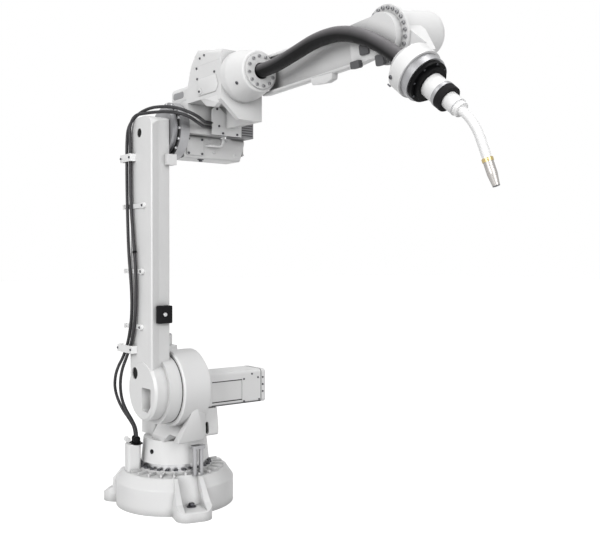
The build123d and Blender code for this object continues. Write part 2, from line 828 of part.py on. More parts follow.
# Motor of axis 3 under the housing
with BuildPart() as axis3_motor:
    with BuildSketch(beside(ELBOW, motor3_near + motor3_length)):
        with Locations((motor3_front - motor3_width / 2, elbow_floor - motor3_height / 2)):
            RectangleRounded(motor3_width, motor3_height, motor3_corner)
    extrude(amount=motor3_length)
    with BuildSketch(across(ELBOW, motor3_front - motor3_width)):
        Polygon(
            (motor3_near + motor3_length, elbow_floor - motor3_foot),
            (motor3_near + motor3_length, elbow_floor - motor3_height),
            (motor3_near + motor3_length - motor3_foot, elbow_floor - motor3_height),
            align=None,
        )
    extrude(amount=motor3_width, mode=Mode.SUBTRACT)
axis3_motor.part.label = "axis3_motor"
export_step(axis3_motor.part, "parts/axis3_motor.step")

# Motor of axis 4 behind the housing
with BuildPart() as axis4_motor:
    with BuildSketch(across(ELBOW, elbow_rear)):
        with Locations((0, motor4_lift)):
            RectangleRounded(motor4_width, motor4_height, motor4_corner)
    extrude(amount=-motor4_length)
axis4_motor.part.label = "axis4_motor"
export_step(axis4_motor.part, "parts/axis4_motor.step")

# Sheet bracket that hangs in front of the cables
with BuildPart() as cable_bracket:
    with BuildSketch(across(ELBOW, elbow_rear + bracket_stand)):
        with BuildLine():
            Polyline(
                (bracket_near + bracket_width, bracket_waist),
                (bracket_near + bracket_width, elbow_floor),
                (bracket_near, elbow_floor),
                (bracket_near, elbow_cavity - bracket_corner),
                (bracket_near + bracket_corner, elbow_cavity),
                (bracket_near + 2 * bracket_corner, elbow_cavity),
            )
            RadiusArc(
                (bracket_near + 2 * bracket_corner, elbow_cavity),
                (bracket_near + bracket_width, bracket_waist),
                -bracket_width,
            )
        make_face()
    extrude(amount=bracket_thickness)
cable_bracket.part.label = "cable_bracket"
export_step(cable_bracket.part, "parts/cable_bracket.step")

# Vent box on the motor of axis 3
with BuildPart() as vent_box:
    with BuildSketch(above(ELBOW, elbow_floor)):
        with Locations((elbow_rear + bracket_stand - vent_depth / 2, vent_near + vent_width / 2)):
            RectangleRounded(vent_depth, vent_width, vent_corner)
    extrude(amount=vent_height)
vent_box.part.label = "vent_box"
export_step(vent_box.part, "parts/vent_box.step")

# Forearm hub that turns on the housing's front, with a socket for the hose
hub4_root = elbow_front + running_gap
hub4_front = hub4_root + hub4_length
hose_bore = hose_diameter / 2 + hose_gap
with BuildPart() as forearm_hub:
    with BuildSketch(beside(FOREARM, 0)) as hub_sketch:
        Polygon(
            (hub4_root, 0),
            (hub4_root, hub4_radius),
            (hub4_root + hub4_band, hub4_radius),
            (hub4_front, hub4_tip_radius),
            (hub4_front, 0),
            align=None,
        )
        fillet(hub_sketch.vertices().group_by(Axis.X)[-1].sort_by(Axis.Y)[-1], hub4_round)
    revolve(axis=line_of(FOREARM))
    with BuildSketch(across(FOREARM, hub4_front)):
        Circle(hose_bore)
    extrude(amount=-hose_socket_depth, mode=Mode.SUBTRACT)
forearm_hub.part.label = "forearm_hub"
export_step(forearm_hub.part, "parts/forearm_hub.step")

# Bolted ring round the hose
with BuildPart() as hose_ring:
    with BuildSketch(across(FOREARM, hub4_front)):
        Circle(ring_radius)
        Circle(hose_bore, mode=Mode.SUBTRACT)
    extrude(amount=ring_depth)
hose_ring.part.label = "hose_ring"
export_step(hose_ring.part, "parts/hose_ring.step")

# Forearm beam: a channel open to the hose, lofted from the hub to the wrist
beam_finish = forearm_length - beam_setback
beam_start = hub4_front - beam_overlap
with BuildPart() as forearm_beam:
    for distance, (near, far, top, bottom) in ((beam_start, beam_root), (beam_finish, beam_end)):
        with BuildSketch(across(FOREARM, distance)):
            with Locations(((near + far) / 2, (top - bottom) / 2)):
                RectangleRounded(far - near, top + bottom, beam_round)
    loft()
    for distance, (near, far, top, bottom) in ((beam_start, beam_root), (beam_finish, beam_end)):
        with BuildSketch(across(FOREARM, distance)):
            with Locations((near - beam_wall, (top - bottom) / 2)):
                Rectangle(2 * (far - near), top + bottom - 2 * beam_wall)
    loft(mode=Mode.SUBTRACT)
    add(forearm_hub.part, mode=Mode.SUBTRACT)
forearm_beam.part.label = "forearm_beam"
export_step(forearm_beam.part, "parts/forearm_beam.step")

# Forearm end with the seat of axis 5
with BuildPart() as forearm_end:
    with BuildSketch(beside(FOREARM, beam_end[1])):
        Polygon(
            (beam_finish, beam_end[2]),
            (forearm_length - end_waist, end_waist),
            (forearm_length, end_waist),
            (forearm_length, -end_waist),
            (forearm_length - end_waist, -end_waist),
            (beam_finish, -beam_end[3]),
            align=None,
        )
    extrude(amount=beam_end[1] - beam_end[0])
    with BuildSketch(beside(FOREARM, tilt_face)):
        with Locations((forearm_length, 0)):
            Circle(end_plate_radius)
    extrude(amount=end_plate_depth)
    with BuildSketch(beside(FOREARM, tilt_face)):
        with Locations((forearm_length, 0)):
            Circle(end_boss_radius)
    extrude(amount=tilt_face - end_boss_near)
forearm_end.part.label = "forearm_end"
export_step(forearm_end.part, "parts/forearm_end.step")

# Tilting wrist housing: hub on axis 5, neck, and the drum round axis 6
tilt_root = tilt_face + running_gap
wrist_front = wrist_drum_rear + wrist_drum_length
with BuildPart() as tilt_housing:
    with BuildSketch(beside(WRIST, tilt_root + tilt_hub_length)):
        Circle(tilt_hub_radius)
    extrude(amount=tilt_hub_length)
    fillet(tilt_housing.edges().group_by(hinge_of(WRIST))[-1], tilt_hub_round)
    with BuildSketch(above(WRIST, -neck_half_height)) as neck_sketch:
        Polygon(
            (-neck_shoulder, tilt_root),
            (-neck_shoulder, tilt_root + neck_depth),
            (neck_shoulder, tilt_root + neck_depth),
            (wrist_front - neck_finish, wrist_drum_radius + running_gap),
            (wrist_front - neck_finish / 2, 0),
            (wrist_drum_rear, 0),
            (wrist_drum_rear, tilt_root),
            align=None,
        )
    extrude(amount=2 * neck_half_height)
    with BuildSketch(beside(WRIST, 0)):
        Polygon(
            (wrist_drum_rear, 0),
            (wrist_drum_rear, wrist_drum_radius - wrist_drum_round),
            (wrist_drum_rear + wrist_drum_round, wrist_drum_radius),
            (wrist_front, wrist_drum_radius),
            (wrist_front, 0),
            align=None,
        )
    revolve(axis=line_of(WRIST))
tilt_housing.part.label = "tilt_housing"
export_step(tilt_housing.part, "parts/tilt_housing.step")

# Tool flange that turns on axis 6
flange_root = wrist_front + running_gap
with BuildPart() as tool_flange:
    with BuildSketch(across(WRIST, flange_root)):
        Circle(flange_radius)
    extrude(amount=flange_depth)
tool_flange.part.label = "tool_flange"
export_step(tool_flange.part, "parts/tool_flange.step")

# Insulating disc of the torch, stepped at its front
disc_root = flange_root + flange_depth
with BuildPart() as torch_disc:
    with BuildSketch(across(WRIST, disc_root)):
        Circle(disc_radius)
    extrude(amount=disc_depth - disc_step)
    with BuildSketch(across(WRIST, disc_root + disc_depth - disc_step)):
        Circle(disc_radius - disc_step)
    extrude(amount=disc_step)
torch_disc.part.label = "torch_disc"
export_step(torch_disc.part, "parts/torch_disc.step")

# Torch body
torch_root = disc_root + disc_depth
with BuildPart() as torch_body:
    with BuildSketch(across(WRIST, torch_root)):
        Circle(torch_radius)
    extrude(amount=torch_length)
torch_body.part.label = "torch_body"
export_step(torch_body.part, "parts/torch_body.step")

# Rubber collar of the torch
collar_root = torch_root + torch_length
with BuildPart() as torch_collar:
    with BuildSketch(across(WRIST, collar_root)):
        Circle(collar_ring_radius)
    extrude(amount=collar_ring_depth)
torch_collar.part.label = "torch_collar"
export_step(torch_collar.part, "parts/torch_collar.step")

# Shank with its union nut
shank_root = collar_root + collar_ring_depth
nut_root = shank_root + shank_length
neck_root = nut_root + nut_depth
with BuildPart() as torch_shank:
    with BuildSketch(across(WRIST, shank_root)):
        Circle(shank_radius)
    extrude(amount=shank_length)
    with BuildSketch(across(WRIST, nut_root)):
        Circle(nut_radius)
    extrude(amount=nut_depth)
torch_shank.part.label = "torch_shank"
export_step(torch_shank.part, "parts/torch_shank.step")

# Bent neck of the torch
neck_corner = neck_root + neck_straight
neck_tip = (neck_corner + neck_reach * cos(radians(neck_bend_angle)), -neck_reach * sin(radians(neck_bend_angle)))
NOZZLE = Plane(
    WRIST.from_local_coords((neck_tip[0], 0, neck_tip[1])), x_dir=NECK_END.x_dir, z_dir=NECK_END.z_dir
)
with BuildPart() as swan_neck:
    with BuildLine(beside(WRIST, 0)) as neck_path:
        FilletPolyline((neck_root, 0), (neck_corner, 0), neck_tip, radius=neck_bend_radius)
    with BuildSketch(across(WRIST, neck_root)):
        Circle(neck_radius)
    sweep(path=neck_path.wire())
swan_neck.part.label = "swan_neck"
export_step(swan_neck.part, "parts/swan_neck.step")

# Brass ring and gas nozzle at the end of the neck
with BuildPart() as brass_ring:
    with BuildSketch(across(NOZZLE, 0)):
        Circle(brass_radius)
    extrude(amount=brass_depth)
brass_ring.part.label = "brass_ring"
export_step(brass_ring.part, "parts/brass_ring.step")

with BuildPart() as gas_nozzle:
    with BuildSketch(beside(NOZZLE, 0)):
        Polygon(
            (brass_depth, 0),
            (brass_depth, nozzle_radius),
            (brass_depth + nozzle_length / 2, nozzle_radius),
            (brass_depth + nozzle_length, nozzle_tip_radius),
            (brass_depth + nozzle_length, nozzle_bore),
            (brass_depth + nozzle_length / 2, nozzle_bore),
            (brass_depth + nozzle_length / 2, 0),
            align=None,
        )
    revolve(axis=line_of(NOZZLE))
gas_nozzle.part.label = "gas_nozzle"
export_step(gas_nozzle.part, "parts/gas_nozzle.step")

# Process hose from the hub's socket to the rear of the wrist drum
hose_start = FOREARM.from_local_coords((hub4_front - hose_socket_depth, 0, 0))
hose_finish = WRIST.from_local_coords((wrist_drum_rear, 0, 0))
hose_route = [
    hose_start,
    *[FOREARM.from_local_coords((hub4_front + x, y, z)) for x, y, z in hose_places],
    WRIST.from_local_coords((wrist_drum_rear - hose_lead, 0, 0)),
    hose_finish,
]
with BuildPart() as process_hose:
    with BuildLine() as hose_line:
        FilletPolyline(*hose_route, radius=bend_radii("process_hose", hose_route))
    with BuildSketch(across(FOREARM, hub4_front - hose_socket_depth)):
        Circle(hose_diameter / 2)
    sweep(path=hose_line.wire())
process_hose.part.label = "process_hose"
export_step(process_hose.part, "parts/process_hose.step")
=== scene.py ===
"""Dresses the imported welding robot: painted castings, hose and cables, screws, torch and a plain studio."""
from math import cos, pi, radians, sin

import bmesh
import bpy
from mathutils import Matrix, Vector


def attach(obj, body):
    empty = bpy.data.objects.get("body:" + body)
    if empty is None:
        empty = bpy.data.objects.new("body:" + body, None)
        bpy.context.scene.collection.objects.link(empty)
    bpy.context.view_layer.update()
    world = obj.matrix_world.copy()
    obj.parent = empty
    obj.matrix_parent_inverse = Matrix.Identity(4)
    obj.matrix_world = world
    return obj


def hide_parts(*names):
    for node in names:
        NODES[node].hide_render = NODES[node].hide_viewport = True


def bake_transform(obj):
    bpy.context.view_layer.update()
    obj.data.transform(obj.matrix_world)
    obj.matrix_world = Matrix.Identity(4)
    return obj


bl_info = {
    "name": "Welding robot dressing",
    "version": (1, 0, 0),
    "blender": (4, 5, 0),
    "location": "View3D > Sidebar > Robot",
    "description": "Dresses the packed six-axis welding robot and sets up its studio",
    "category": "Object",
}

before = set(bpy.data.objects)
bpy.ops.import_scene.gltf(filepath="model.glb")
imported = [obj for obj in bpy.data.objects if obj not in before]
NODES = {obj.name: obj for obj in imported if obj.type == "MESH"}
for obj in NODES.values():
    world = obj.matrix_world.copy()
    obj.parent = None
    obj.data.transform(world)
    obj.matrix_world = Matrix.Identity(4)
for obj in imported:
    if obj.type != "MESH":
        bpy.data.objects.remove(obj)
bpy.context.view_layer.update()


# Frames and faces of the robot


def axes_at(origin, x_dir, z_dir):
    """A frame as a matrix, from its origin and two of its directions."""
    x_dir = Vector(x_dir).normalized()
    z_dir = Vector(z_dir).normalized()
    turn = Matrix((x_dir, z_dir.cross(x_dir), z_dir)).transposed()
    return Matrix.Translation(origin) @ turn.to_4x4()


# Lengths in metres and angles of the pose at rest, as in the part's source
AXIS2_REACH = 0.150
AXIS2_HEIGHT = 0.445
LOWER_ARM = 0.900
AXIS4_RISE = 0.150
FOREARM_LENGTH = 0.938
COLUMN_REACH = 0.160
COLUMN_TURN = radians(-102)
ROLL = radians(10)
TILT = radians(41)
NECK_BEND = radians(34)

# The robot's own frames at rest
BASE = Matrix.Identity(4)
COLUMN = Matrix.Rotation(COLUMN_TURN, 4, "Z") @ Matrix.Translation((COLUMN_REACH, 0, 0))
SHOULDER = Matrix.Translation((AXIS2_REACH, 0, AXIS2_HEIGHT))
ELBOW = Matrix.Translation((AXIS2_REACH, 0, AXIS2_HEIGHT + LOWER_ARM))
FOREARM = axes_at(
    (AXIS2_REACH, 0, AXIS2_HEIGHT + LOWER_ARM + AXIS4_RISE), (1, 0, 0), (0, -sin(ROLL), cos(ROLL))
)
WRIST = FOREARM @ Matrix.Translation((FOREARM_LENGTH, 0, 0)) @ Matrix.Rotation(TILT, 4, "Y")
NOZZLE = WRIST @ Matrix.Translation((0.49123, 0, -0.05257)) @ Matrix.Rotation(NECK_BEND, 4, "Y")


def facing(axes, place, direction):
    """A matrix at a place in a frame, whose z axis points along one of the frame's directions."""
    turn = axes.to_3x3() @ Vector(direction).to_track_quat("Z", "Y").to_matrix()
    return Matrix.Translation(axes @ Vector(place)) @ turn.to_4x4()


def face_of(axes, origin, right, upward):
    """A face of a frame, from its origin, the direction of its width and the direction of its height."""
    right = Vector(right)
    upward = Vector(upward)
    turn = Matrix((right, upward, right.cross(upward))).transposed()
    return axes @ Matrix.Translation(origin) @ turn.to_4x4()


def near_face(axes, offset):
    """A face square to a frame's y axis, that looks along -y."""
    return face_of(axes, (0, offset, 0), (1, 0, 0), (0, 0, 1))


def far_face(axes, offset):
    """A face square to a frame's y axis, that looks along +y."""
    return face_of(axes, (0, offset, 0), (-1, 0, 0), (0, 0, 1))


def front_face(axes, offset):
    """A face square to a frame's x axis, that looks along +x."""
    return face_of(axes, (offset, 0, 0), (0, 1, 0), (0, 0, 1))


def rear_face(axes, offset):
    """A face square to a frame's x axis, that looks along -x."""
    return face_of(axes, (offset, 0, 0), (0, -1, 0), (0, 0, 1))


def raised(face, height):
    """The top of what stands on a face at a height."""
    return face @ Matrix.Translation((0, 0, height))


def spot(face, x, y):
    """A place on a face, from its width and height on it."""
    return face @ Matrix.Translation((x, y, 0))


def spots(face, *places):
    """Several places on a face."""
    return [spot(face, x, y) for x, y in places]


def circle_places(axes, centre, direction, radius, count):
    """Places spaced evenly on a circle square to a direction of a frame."""
    hub = facing(axes, centre, direction)
    step = 2 * pi / count
    return [spot(hub, radius * cos(i * step), radius * sin(i * step)) for i in range(count)]


# Sizes and colours that can be changed


class RobotFinishes(bpy.types.PropertyGroup):
    """Colours of the robot's finishes."""

    paint: bpy.props.FloatVectorProperty(
        name="Paint", description="Light grey enamel on the castings",
        subtype="COLOR", size=4, min=0, max=1, default=(0.79, 0.79, 0.79, 1),
    )
    rubber: bpy.props.FloatVectorProperty(
        name="Rubber", description="Black rubber of the hose, cables and bumpers",
        subtype="COLOR", size=4, min=0, max=1, default=(0.017, 0.0165, 0.018, 1),
    )
    moulding: bpy.props.FloatVectorProperty(
        name="Moulding", description="White plastic of the torch and the cable clamps",
        subtype="COLOR", size=4, min=0, max=1, default=(0.86, 0.86, 0.86, 1),
    )
    brass: bpy.props.FloatVectorProperty(
        name="Brass", description="Bare brass ring behind the gas nozzle",
        subtype="COLOR", size=4, min=0, max=1, default=(0.52, 0.41, 0.19, 1),
    )


class RobotSizes(bpy.types.PropertyGroup):
    """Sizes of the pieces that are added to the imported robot."""

    hose_diameter: bpy.props.FloatProperty(
        name="Hose diameter", description="Outside diameter of the process hose",
        unit="LENGTH", min=0.02, max=0.06, default=0.044,
    )
    cable_diameter: bpy.props.FloatProperty(
        name="Cable diameter", description="Outside diameter of the two motor cables",
        unit="LENGTH", min=0.004, max=0.02, default=0.011,
    )
    screw_radius: bpy.props.FloatProperty(
        name="Screw radius", description="Head radius of the screws round the elbow, the hose ring and the wrist",
        unit="LENGTH", min=0.002, max=0.01, default=0.005,
    )


# Node trees of the finishes


def new_finish(name, colour, roughness, metallic=0.0):
    """Starts a material, and gives its node tree, its shader and its Object coordinates."""
    finish = bpy.data.materials.new(name)
    finish.use_nodes = True
    tree = finish.node_tree
    surface = tree.nodes["Principled BSDF"]
    surface.inputs["Base Color"].default_value = colour
    surface.inputs["Roughness"].default_value = roughness
    surface.inputs["Metallic"].default_value = metallic
    place = tree.nodes.new("ShaderNodeTexCoord").outputs["Object"]
    return tree, surface, place


def finish_named(name):
    """A finish made before."""
    return bpy.data.materials[name]


def paint(piece, finish):
    """Gives a piece one finish all over."""
    piece.data.materials.clear()
    piece.data.materials.append(finish)


def noise(tree, place, scale, detail):
    """Noise over a surface."""
    node = tree.nodes.new("ShaderNodeTexNoise")
    node.inputs["Scale"].default_value = scale
    node.inputs["Detail"].default_value = detail
    tree.links.new(place, node.inputs["Vector"])
    return node.outputs["Fac"]


def between(tree, value, low, high, start=0.3, stop=0.7):
    """Turns a pattern into a value between two limits."""
    node = tree.nodes.new("ShaderNodeMapRange")
    node.inputs["From Min"].default_value = start
    node.inputs["From Max"].default_value = stop
    node.inputs["To Min"].default_value = low
    node.inputs["To Max"].default_value = high
    tree.links.new(value, node.inputs["Value"])
    return node.outputs["Result"]


# Sockets of the Mix node in its colour mode
MIX_FACTOR, MIX_FIRST, MIX_SECOND, MIX_RESULT = 0, 6, 7, 2


def tinted(tree, value, first, second):
    """Mixes two colours, or a colour and a pattern of colours, by a pattern."""
    node = tree.nodes.new("ShaderNodeMix")
    node.data_type = "RGBA"
    node.inputs[MIX_FIRST].default_value = first
    if isinstance(second, tuple):
        node.inputs[MIX_SECOND].default_value = second
    else:
        tree.links.new(second, node.inputs[MIX_SECOND])
    tree.links.new(value, node.inputs[MIX_FACTOR])
    return node.outputs[MIX_RESULT]


def shaded(colour, factor):
    """A colour made lighter or darker."""
    return (*(min(1.0, channel * factor) for channel in colour[:3]), 1)


def clouded(tree, pattern, colour, darker, lighter):
    """A colour that wanders between a darker and a lighter tone by a pattern."""
    return tinted(tree, between(tree, pattern, 0, 1), shaded(colour, darker), shaded(colour, lighter))


def openness_for_painted_shade(tree, reach):
    """How open a surface is: low in corners and between parts, where shade is painted."""
    node = tree.nodes.new("ShaderNodeAmbientOcclusion")
    node.samples = 8
    node.inputs["Distance"].default_value = reach
    return node.outputs["AO"]


def upward_facing_for_painted_light(tree):
    """How far a surface looks up, where a highlight is painted."""
    parts = tree.nodes.new("ShaderNodeSeparateXYZ")
    tree.links.new(tree.nodes["Texture Coordinate"].outputs["Normal"], parts.inputs["Vector"])
    return between(tree, parts.outputs["Z"], 0, 1, start=-0.3, stop=1.0)


def coloured(tree, surface, tone):
    """Gives a surface a pattern of colours."""
    tree.links.new(tone, surface.inputs["Base Color"])


def smudged(tree, surface, pattern, low, high):
    """Lets a surface's roughness wander between two values by a pattern."""
    tree.links.new(between(tree, pattern, low, high), surface.inputs["Roughness"])


def bumped(tree, surface, height, distance, strength):
    """Raises a surface by a pattern, over what already raises it."""
    node = tree.nodes.new("ShaderNodeBump")
    node.inputs["Distance"].default_value = distance
    node.inputs["Strength"].default_value = strength
    tree.links.new(height, node.inputs["Height"])
    before = surface.inputs["Normal"].links
    if before:
        tree.links.new(before[0].from_socket, node.inputs["Normal"])
    tree.links.new(node.outputs["Normal"], surface.inputs["Normal"])


def enamel(name, colour, roughness, grain, painted_corner_shade=0.52):
    """Sprayed enamel over a casting: cloudy tone, painted shade in the corners, smudged gloss and an orange-peel skin.
    """
    tree, surface, place = new_finish(name, colour, roughness)
    tone = clouded(tree, noise(tree, place, scale=5, detail=4), colour, 0.97, 1.02)
    # Painted shade: the colour is darkened in corners and between parts, where shade falls.
    openness = between(tree, openness_for_painted_shade(tree, reach=0.035), 0, 1, start=0.35, stop=0.9)
    coloured(tree, surface, tinted(tree, openness, shaded(colour, painted_corner_shade), tone))
    smudged(tree, surface, noise(tree, place, scale=17, detail=5), roughness - 0.05, roughness + 0.09)
    bumped(tree, surface, noise(tree, place, scale=520, detail=2), distance=0.00012, strength=0.5)
    bumped(tree, surface, noise(tree, place, scale=60, detail=3), distance=grain, strength=0.5)
    surface.inputs["Coat Weight"].default_value = 0.15
    surface.inputs["Coat Roughness"].default_value = 0.25


def rubber(name, colour, roughness, gloss=0.35, painted_top_light=None):
    """Black rubber with a bloom and a fine matt skin, or with a lighter colour painted on its upper side as a painted
    highlight.
    """
    tree, surface, place = new_finish(name, colour, roughness)
    surface.inputs["Specular IOR Level"].default_value = gloss
    patches = noise(tree, place, scale=28, detail=5)
    # Painted light: faces that look up get the lighter colour, a painted highlight, and the rest keeps the darker
    # colour.
    if painted_top_light:
        tone = tinted(tree, upward_facing_for_painted_light(tree), colour, clouded(tree, patches, painted_top_light, 1.0, 1.2))
    else:
        tone = clouded(tree, patches, colour, 1.0, 1.7)
    coloured(tree, surface, tone)
    smudged(tree, surface, noise(tree, place, scale=90, detail=3), roughness - 0.06, roughness + 0.1)
    bumped(tree, surface, noise(tree, place, scale=900, detail=2), distance=0.0001, strength=0.5)


def moulding(name, colour, roughness, gloss=0.5):
    """Moulded plastic with a spark-eroded grain."""
    tree, surface, place = new_finish(name, colour, roughness)
    surface.inputs["Specular IOR Level"].default_value = gloss
    coloured(tree, surface, clouded(tree, noise(tree, place, scale=12, detail=3), colour, 0.96, 1.03))
    smudged(tree, surface, noise(tree, place, scale=200, detail=3), roughness - 0.05, roughness + 0.08)
    bumped(tree, surface, noise(tree, place, scale=900, detail=1), distance=0.00002, strength=0.12)


def turned_metal(name, colour, roughness):
    """Bare metal with machining marks and a few stains."""
    tree, surface, place = new_finish(name, colour, roughness, metallic=1.0)
    coloured(tree, surface, clouded(tree, noise(tree, place, scale=40, detail=5), colour, 0.92, 1.05))
    marks = noise(tree, place, scale=700, detail=3)
    smudged(tree, surface, marks, roughness - 0.03, roughness + 0.05)
    bumped(tree, surface, marks, distance=0.00001, strength=0.12)


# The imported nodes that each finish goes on
NODE_FINISHES = {
    "iron paint": ("base_casting", "turret_table", "shoulder_casting", "axis2_drum"),
    "arm paint": (
        "connector_column", "axis2_motor", "axis2_motor_cap", "axis1_motor", "lower_arm_hub", "lower_arm_casting",
        "elbow_stop", "elbow_housing", "axis3_motor", "axis4_motor", "forearm_hub", "hose_ring", "forearm_beam",
        "forearm_end", "tilt_housing",
    ),
    # The bracket gets a lighter copy of the paint, as painted light.
    "bracket paint with painted light": ("cable_bracket",),
    "white moulding": ("cable_clamps", "torch_body", "torch_shank", "swan_neck"),
    "black moulding": ("torch_disc", "cable_glands"),
    "grey moulding": ("vent_box",),
    "bumper rubber": ("arm_bumper", "torch_collar"),
    "bare steel": ("bearing_ring",),
    # The elbow flange is bare steel, and its darker tone also paints the shade between the arm and the elbow.
    "dull steel": ("turning_stop", "tool_flange", "elbow_flange"),
    "ring brass": ("brass_ring",),
    "nozzle chrome": ("gas_nozzle",),
}


class ROBOT_OT_finishes(bpy.types.Operator):
    """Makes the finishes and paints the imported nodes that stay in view"""

    bl_idname = "robot.finishes"
    bl_label = "Finishes"

    def execute(self, context):
        colours = context.scene.robot_finishes
        enamel("iron paint", tuple(colours.paint), roughness=0.42, grain=0.0004)
        enamel("arm paint", tuple(colours.paint), roughness=0.36, grain=0.00015)
        # A lighter copy of the paint with little painted shade in its corners: painted light on a bracket that sits in
        # shade.
        enamel("bracket paint with painted light", shaded(colours.paint, 1.14), roughness=0.36, grain=0.00015, painted_corner_shade=0.9)
        moulding("white moulding", tuple(colours.moulding), roughness=0.4)
        moulding("black moulding", (0.0045, 0.0045, 0.005, 1), roughness=0.42, gloss=0.06)
        moulding("grey moulding", (0.33, 0.33, 0.34, 1), roughness=0.5)
        moulding("smoke moulding", (0.09, 0.09, 0.095, 1), roughness=0.5)
        # Near-black for real seams, and for painted shade in holes, a slot and gaps.
        moulding("dark seams and painted shade", (0.018, 0.018, 0.018, 1), roughness=0.7, gloss=0.1)
        # The hose: its rubber darkened as painted shade on its underside, with a grey painted highlight on its upper
        # side.
        rubber(
            "hose rubber", shaded(colours.rubber, 0.3), roughness=0.42, gloss=0.12, painted_top_light=(0.185, 0.178, 0.185, 1)
        )
        rubber("cable rubber", shaded(colours.rubber, 1.3), roughness=0.45)
        rubber("bumper rubber", shaded(colours.rubber, 0.6), roughness=0.6, gloss=0.08)
        turned_metal("bare steel", (0.62, 0.62, 0.63, 1), roughness=0.3)
        turned_metal("dull steel", (0.36, 0.36, 0.37, 1), roughness=0.42)
        turned_metal("dark screws", (0.10, 0.10, 0.11, 1), roughness=0.42)
        turned_metal("bright screws", (0.55, 0.55, 0.56, 1), roughness=0.32)
        turned_metal("ring brass", tuple(colours.brass), roughness=0.24)
        turned_metal("nozzle chrome", (0.40, 0.385, 0.37, 1), roughness=0.38)
        for finish, nodes in NODE_FINISHES.items():
            for node in nodes:
                paint(NODES[node], finish_named(finish))
        return {"FINISHED"}


# Meshes of the added pieces

# How deep trim is sunk into what carries it, how far a boss has its edge broken, and how thick a washer is
SUNK = 0.001
BROKEN_EDGE = 0.001
WASHER = 0.003
# Edges over these angles, in degrees, stay sharp
TRIM_EDGE = 35
TUBE_EDGE = 60


def new_piece(name, form, finish, angle=TRIM_EDGE):
    """Closes a bmesh and links it as an object with one finish, smooth but for its edges over an angle."""
    bmesh.ops.remove_doubles(form, verts=form.verts, dist=1e-6)
    bmesh.ops.recalc_face_normals(form, faces=form.faces)
    mesh = bpy.data.meshes.new(name)
    form.to_mesh(mesh)
    form.free()
    for face in mesh.polygons:
        face.use_smooth = True
    mesh.set_sharp_from_angle(angle=radians(angle))
    piece = bpy.data.objects.new(name, mesh)
    bpy.context.scene.collection.objects.link(piece)
    paint(piece, finish_named(finish))
    return piece


def fitted(name, form, finish, body):
    """A piece of trim that rides on a body."""
    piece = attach(new_piece(name, form, finish), body)
    return piece


def turned(form, place, outline, steps=24):
    """Spins an outline of (radius, height) pairs round the z axis of a place."""
    points = [form.verts.new(place @ Vector((radius, 0, height))) for radius, height in outline]
    edges = [form.edges.new(pair) for pair in zip(points, points[1:])]
    axis = place.to_3x3() @ Vector((0, 0, 1))
    bmesh.ops.spin(
        form, geom=points + edges, cent=place.translation, axis=axis, angle=2 * pi, steps=steps, use_merge=True
    )


def boss(radius, height):
    """The outline of a low round boss, to be turned."""
    return (
        (0, -SUNK), (radius, -SUNK), (radius, height - BROKEN_EDGE), (radius - BROKEN_EDGE, height), (0, height),
    )


def band(inner, outer, low, high):
    """The outline of a plain ring, to be turned."""
    return (inner, low), (outer, low), (outer, high), (inner, high)


def prism(form, face, outline, depth, edge=0.0005, corner=0.0, steps=2, lowest=None):
    """A flat form that stands on a face, with rounded corners, and a rounded rim but for its edges under a height."""
    known = set(form.faces)
    feet = [form.verts.new(face @ Vector((x, y, -SUNK))) for x, y in outline]
    form.faces.new(feet)
    if corner:
        bmesh.ops.bevel(
            form, geom=feet, offset=corner, segments=4, profile=0.5, affect="VERTICES", material=-1
        )
    base = [flat for flat in form.faces if flat not in known]
    made = bmesh.ops.extrude_face_region(form, geom=base, use_keep_orig=True)["geom"]
    upper = [item for item in made if isinstance(item, bmesh.types.BMVert)]
    bmesh.ops.translate(form, verts=upper, vec=face.to_3x3() @ Vector((0, 0, depth + SUNK)))
    rim = [item for item in made if isinstance(item, bmesh.types.BMEdge)]
    if lowest is not None:
        limit = face.translation.z + lowest
        rim = [item for item in rim if max(vert.co.z for vert in item.verts) > limit]
    bmesh.ops.bevel(form, geom=rim, offset=edge, segments=steps, profile=0.5, affect="EDGES", material=-1)


def plate(form, face, sides, depth, edge=0.0005, corner=0.0):
    """A rectangular plate on a face, from its left, low, right and high sides."""
    left, low, right, high = sides
    prism(form, face, ((left, low), (right, low), (right, high), (left, high)), depth, edge, corner)


def socket_screw(form, place, radius, height):
    """A socket-head screw that stands on a place, sunk a little into what carries it."""
    foot = -height * 0.1
    chamfer = radius * 0.16
    socket_floor = height * 0.45
    outline = (
        (0, foot), (radius, foot), (radius, height - chamfer), (radius - chamfer, height),
        (radius * 0.52, height), (radius * 0.46, socket_floor), (0, socket_floor),
    )
    turned(form, place, outline, steps=14)


def hex_bolt(form, place, radius, height):
    """A hexagon bolt on its washer."""
    turned(form, place, boss(radius * 1.5, WASHER))
    made = bmesh.ops.create_cone(
        form, cap_ends=True, segments=6, radius1=radius, radius2=radius, depth=height,
        matrix=raised(place, WASHER + height / 2),
    )
    flats = {face for vert in made["verts"] for face in vert.link_faces}
    rims = {edge for flat in flats if len(flat.verts) == 6 for edge in flat.edges}
    bmesh.ops.bevel(
        form, geom=list(rims), offset=radius * 0.12, segments=2, profile=0.5, affect="EDGES", material=-1
    )


def plug(form, place, radius, height):
    """A flat moulded plug with a raised rim."""
    dish = height * 0.5
    outline = (
        (0, -SUNK), (radius, -SUNK), (radius, height * 0.7), (radius * 0.92, height), (radius * 0.8, height),
        (radius * 0.72, dish), (0, dish),
    )
    turned(form, place, outline)


def screws(name, body, places, radius, height, finish="dark screws"):
    """A group of socket screws as one piece that rides on a body."""
    form = bmesh.new()
    for place in places:
        socket_screw(form, place, radius, height)
    return fitted(name, form, finish, body)


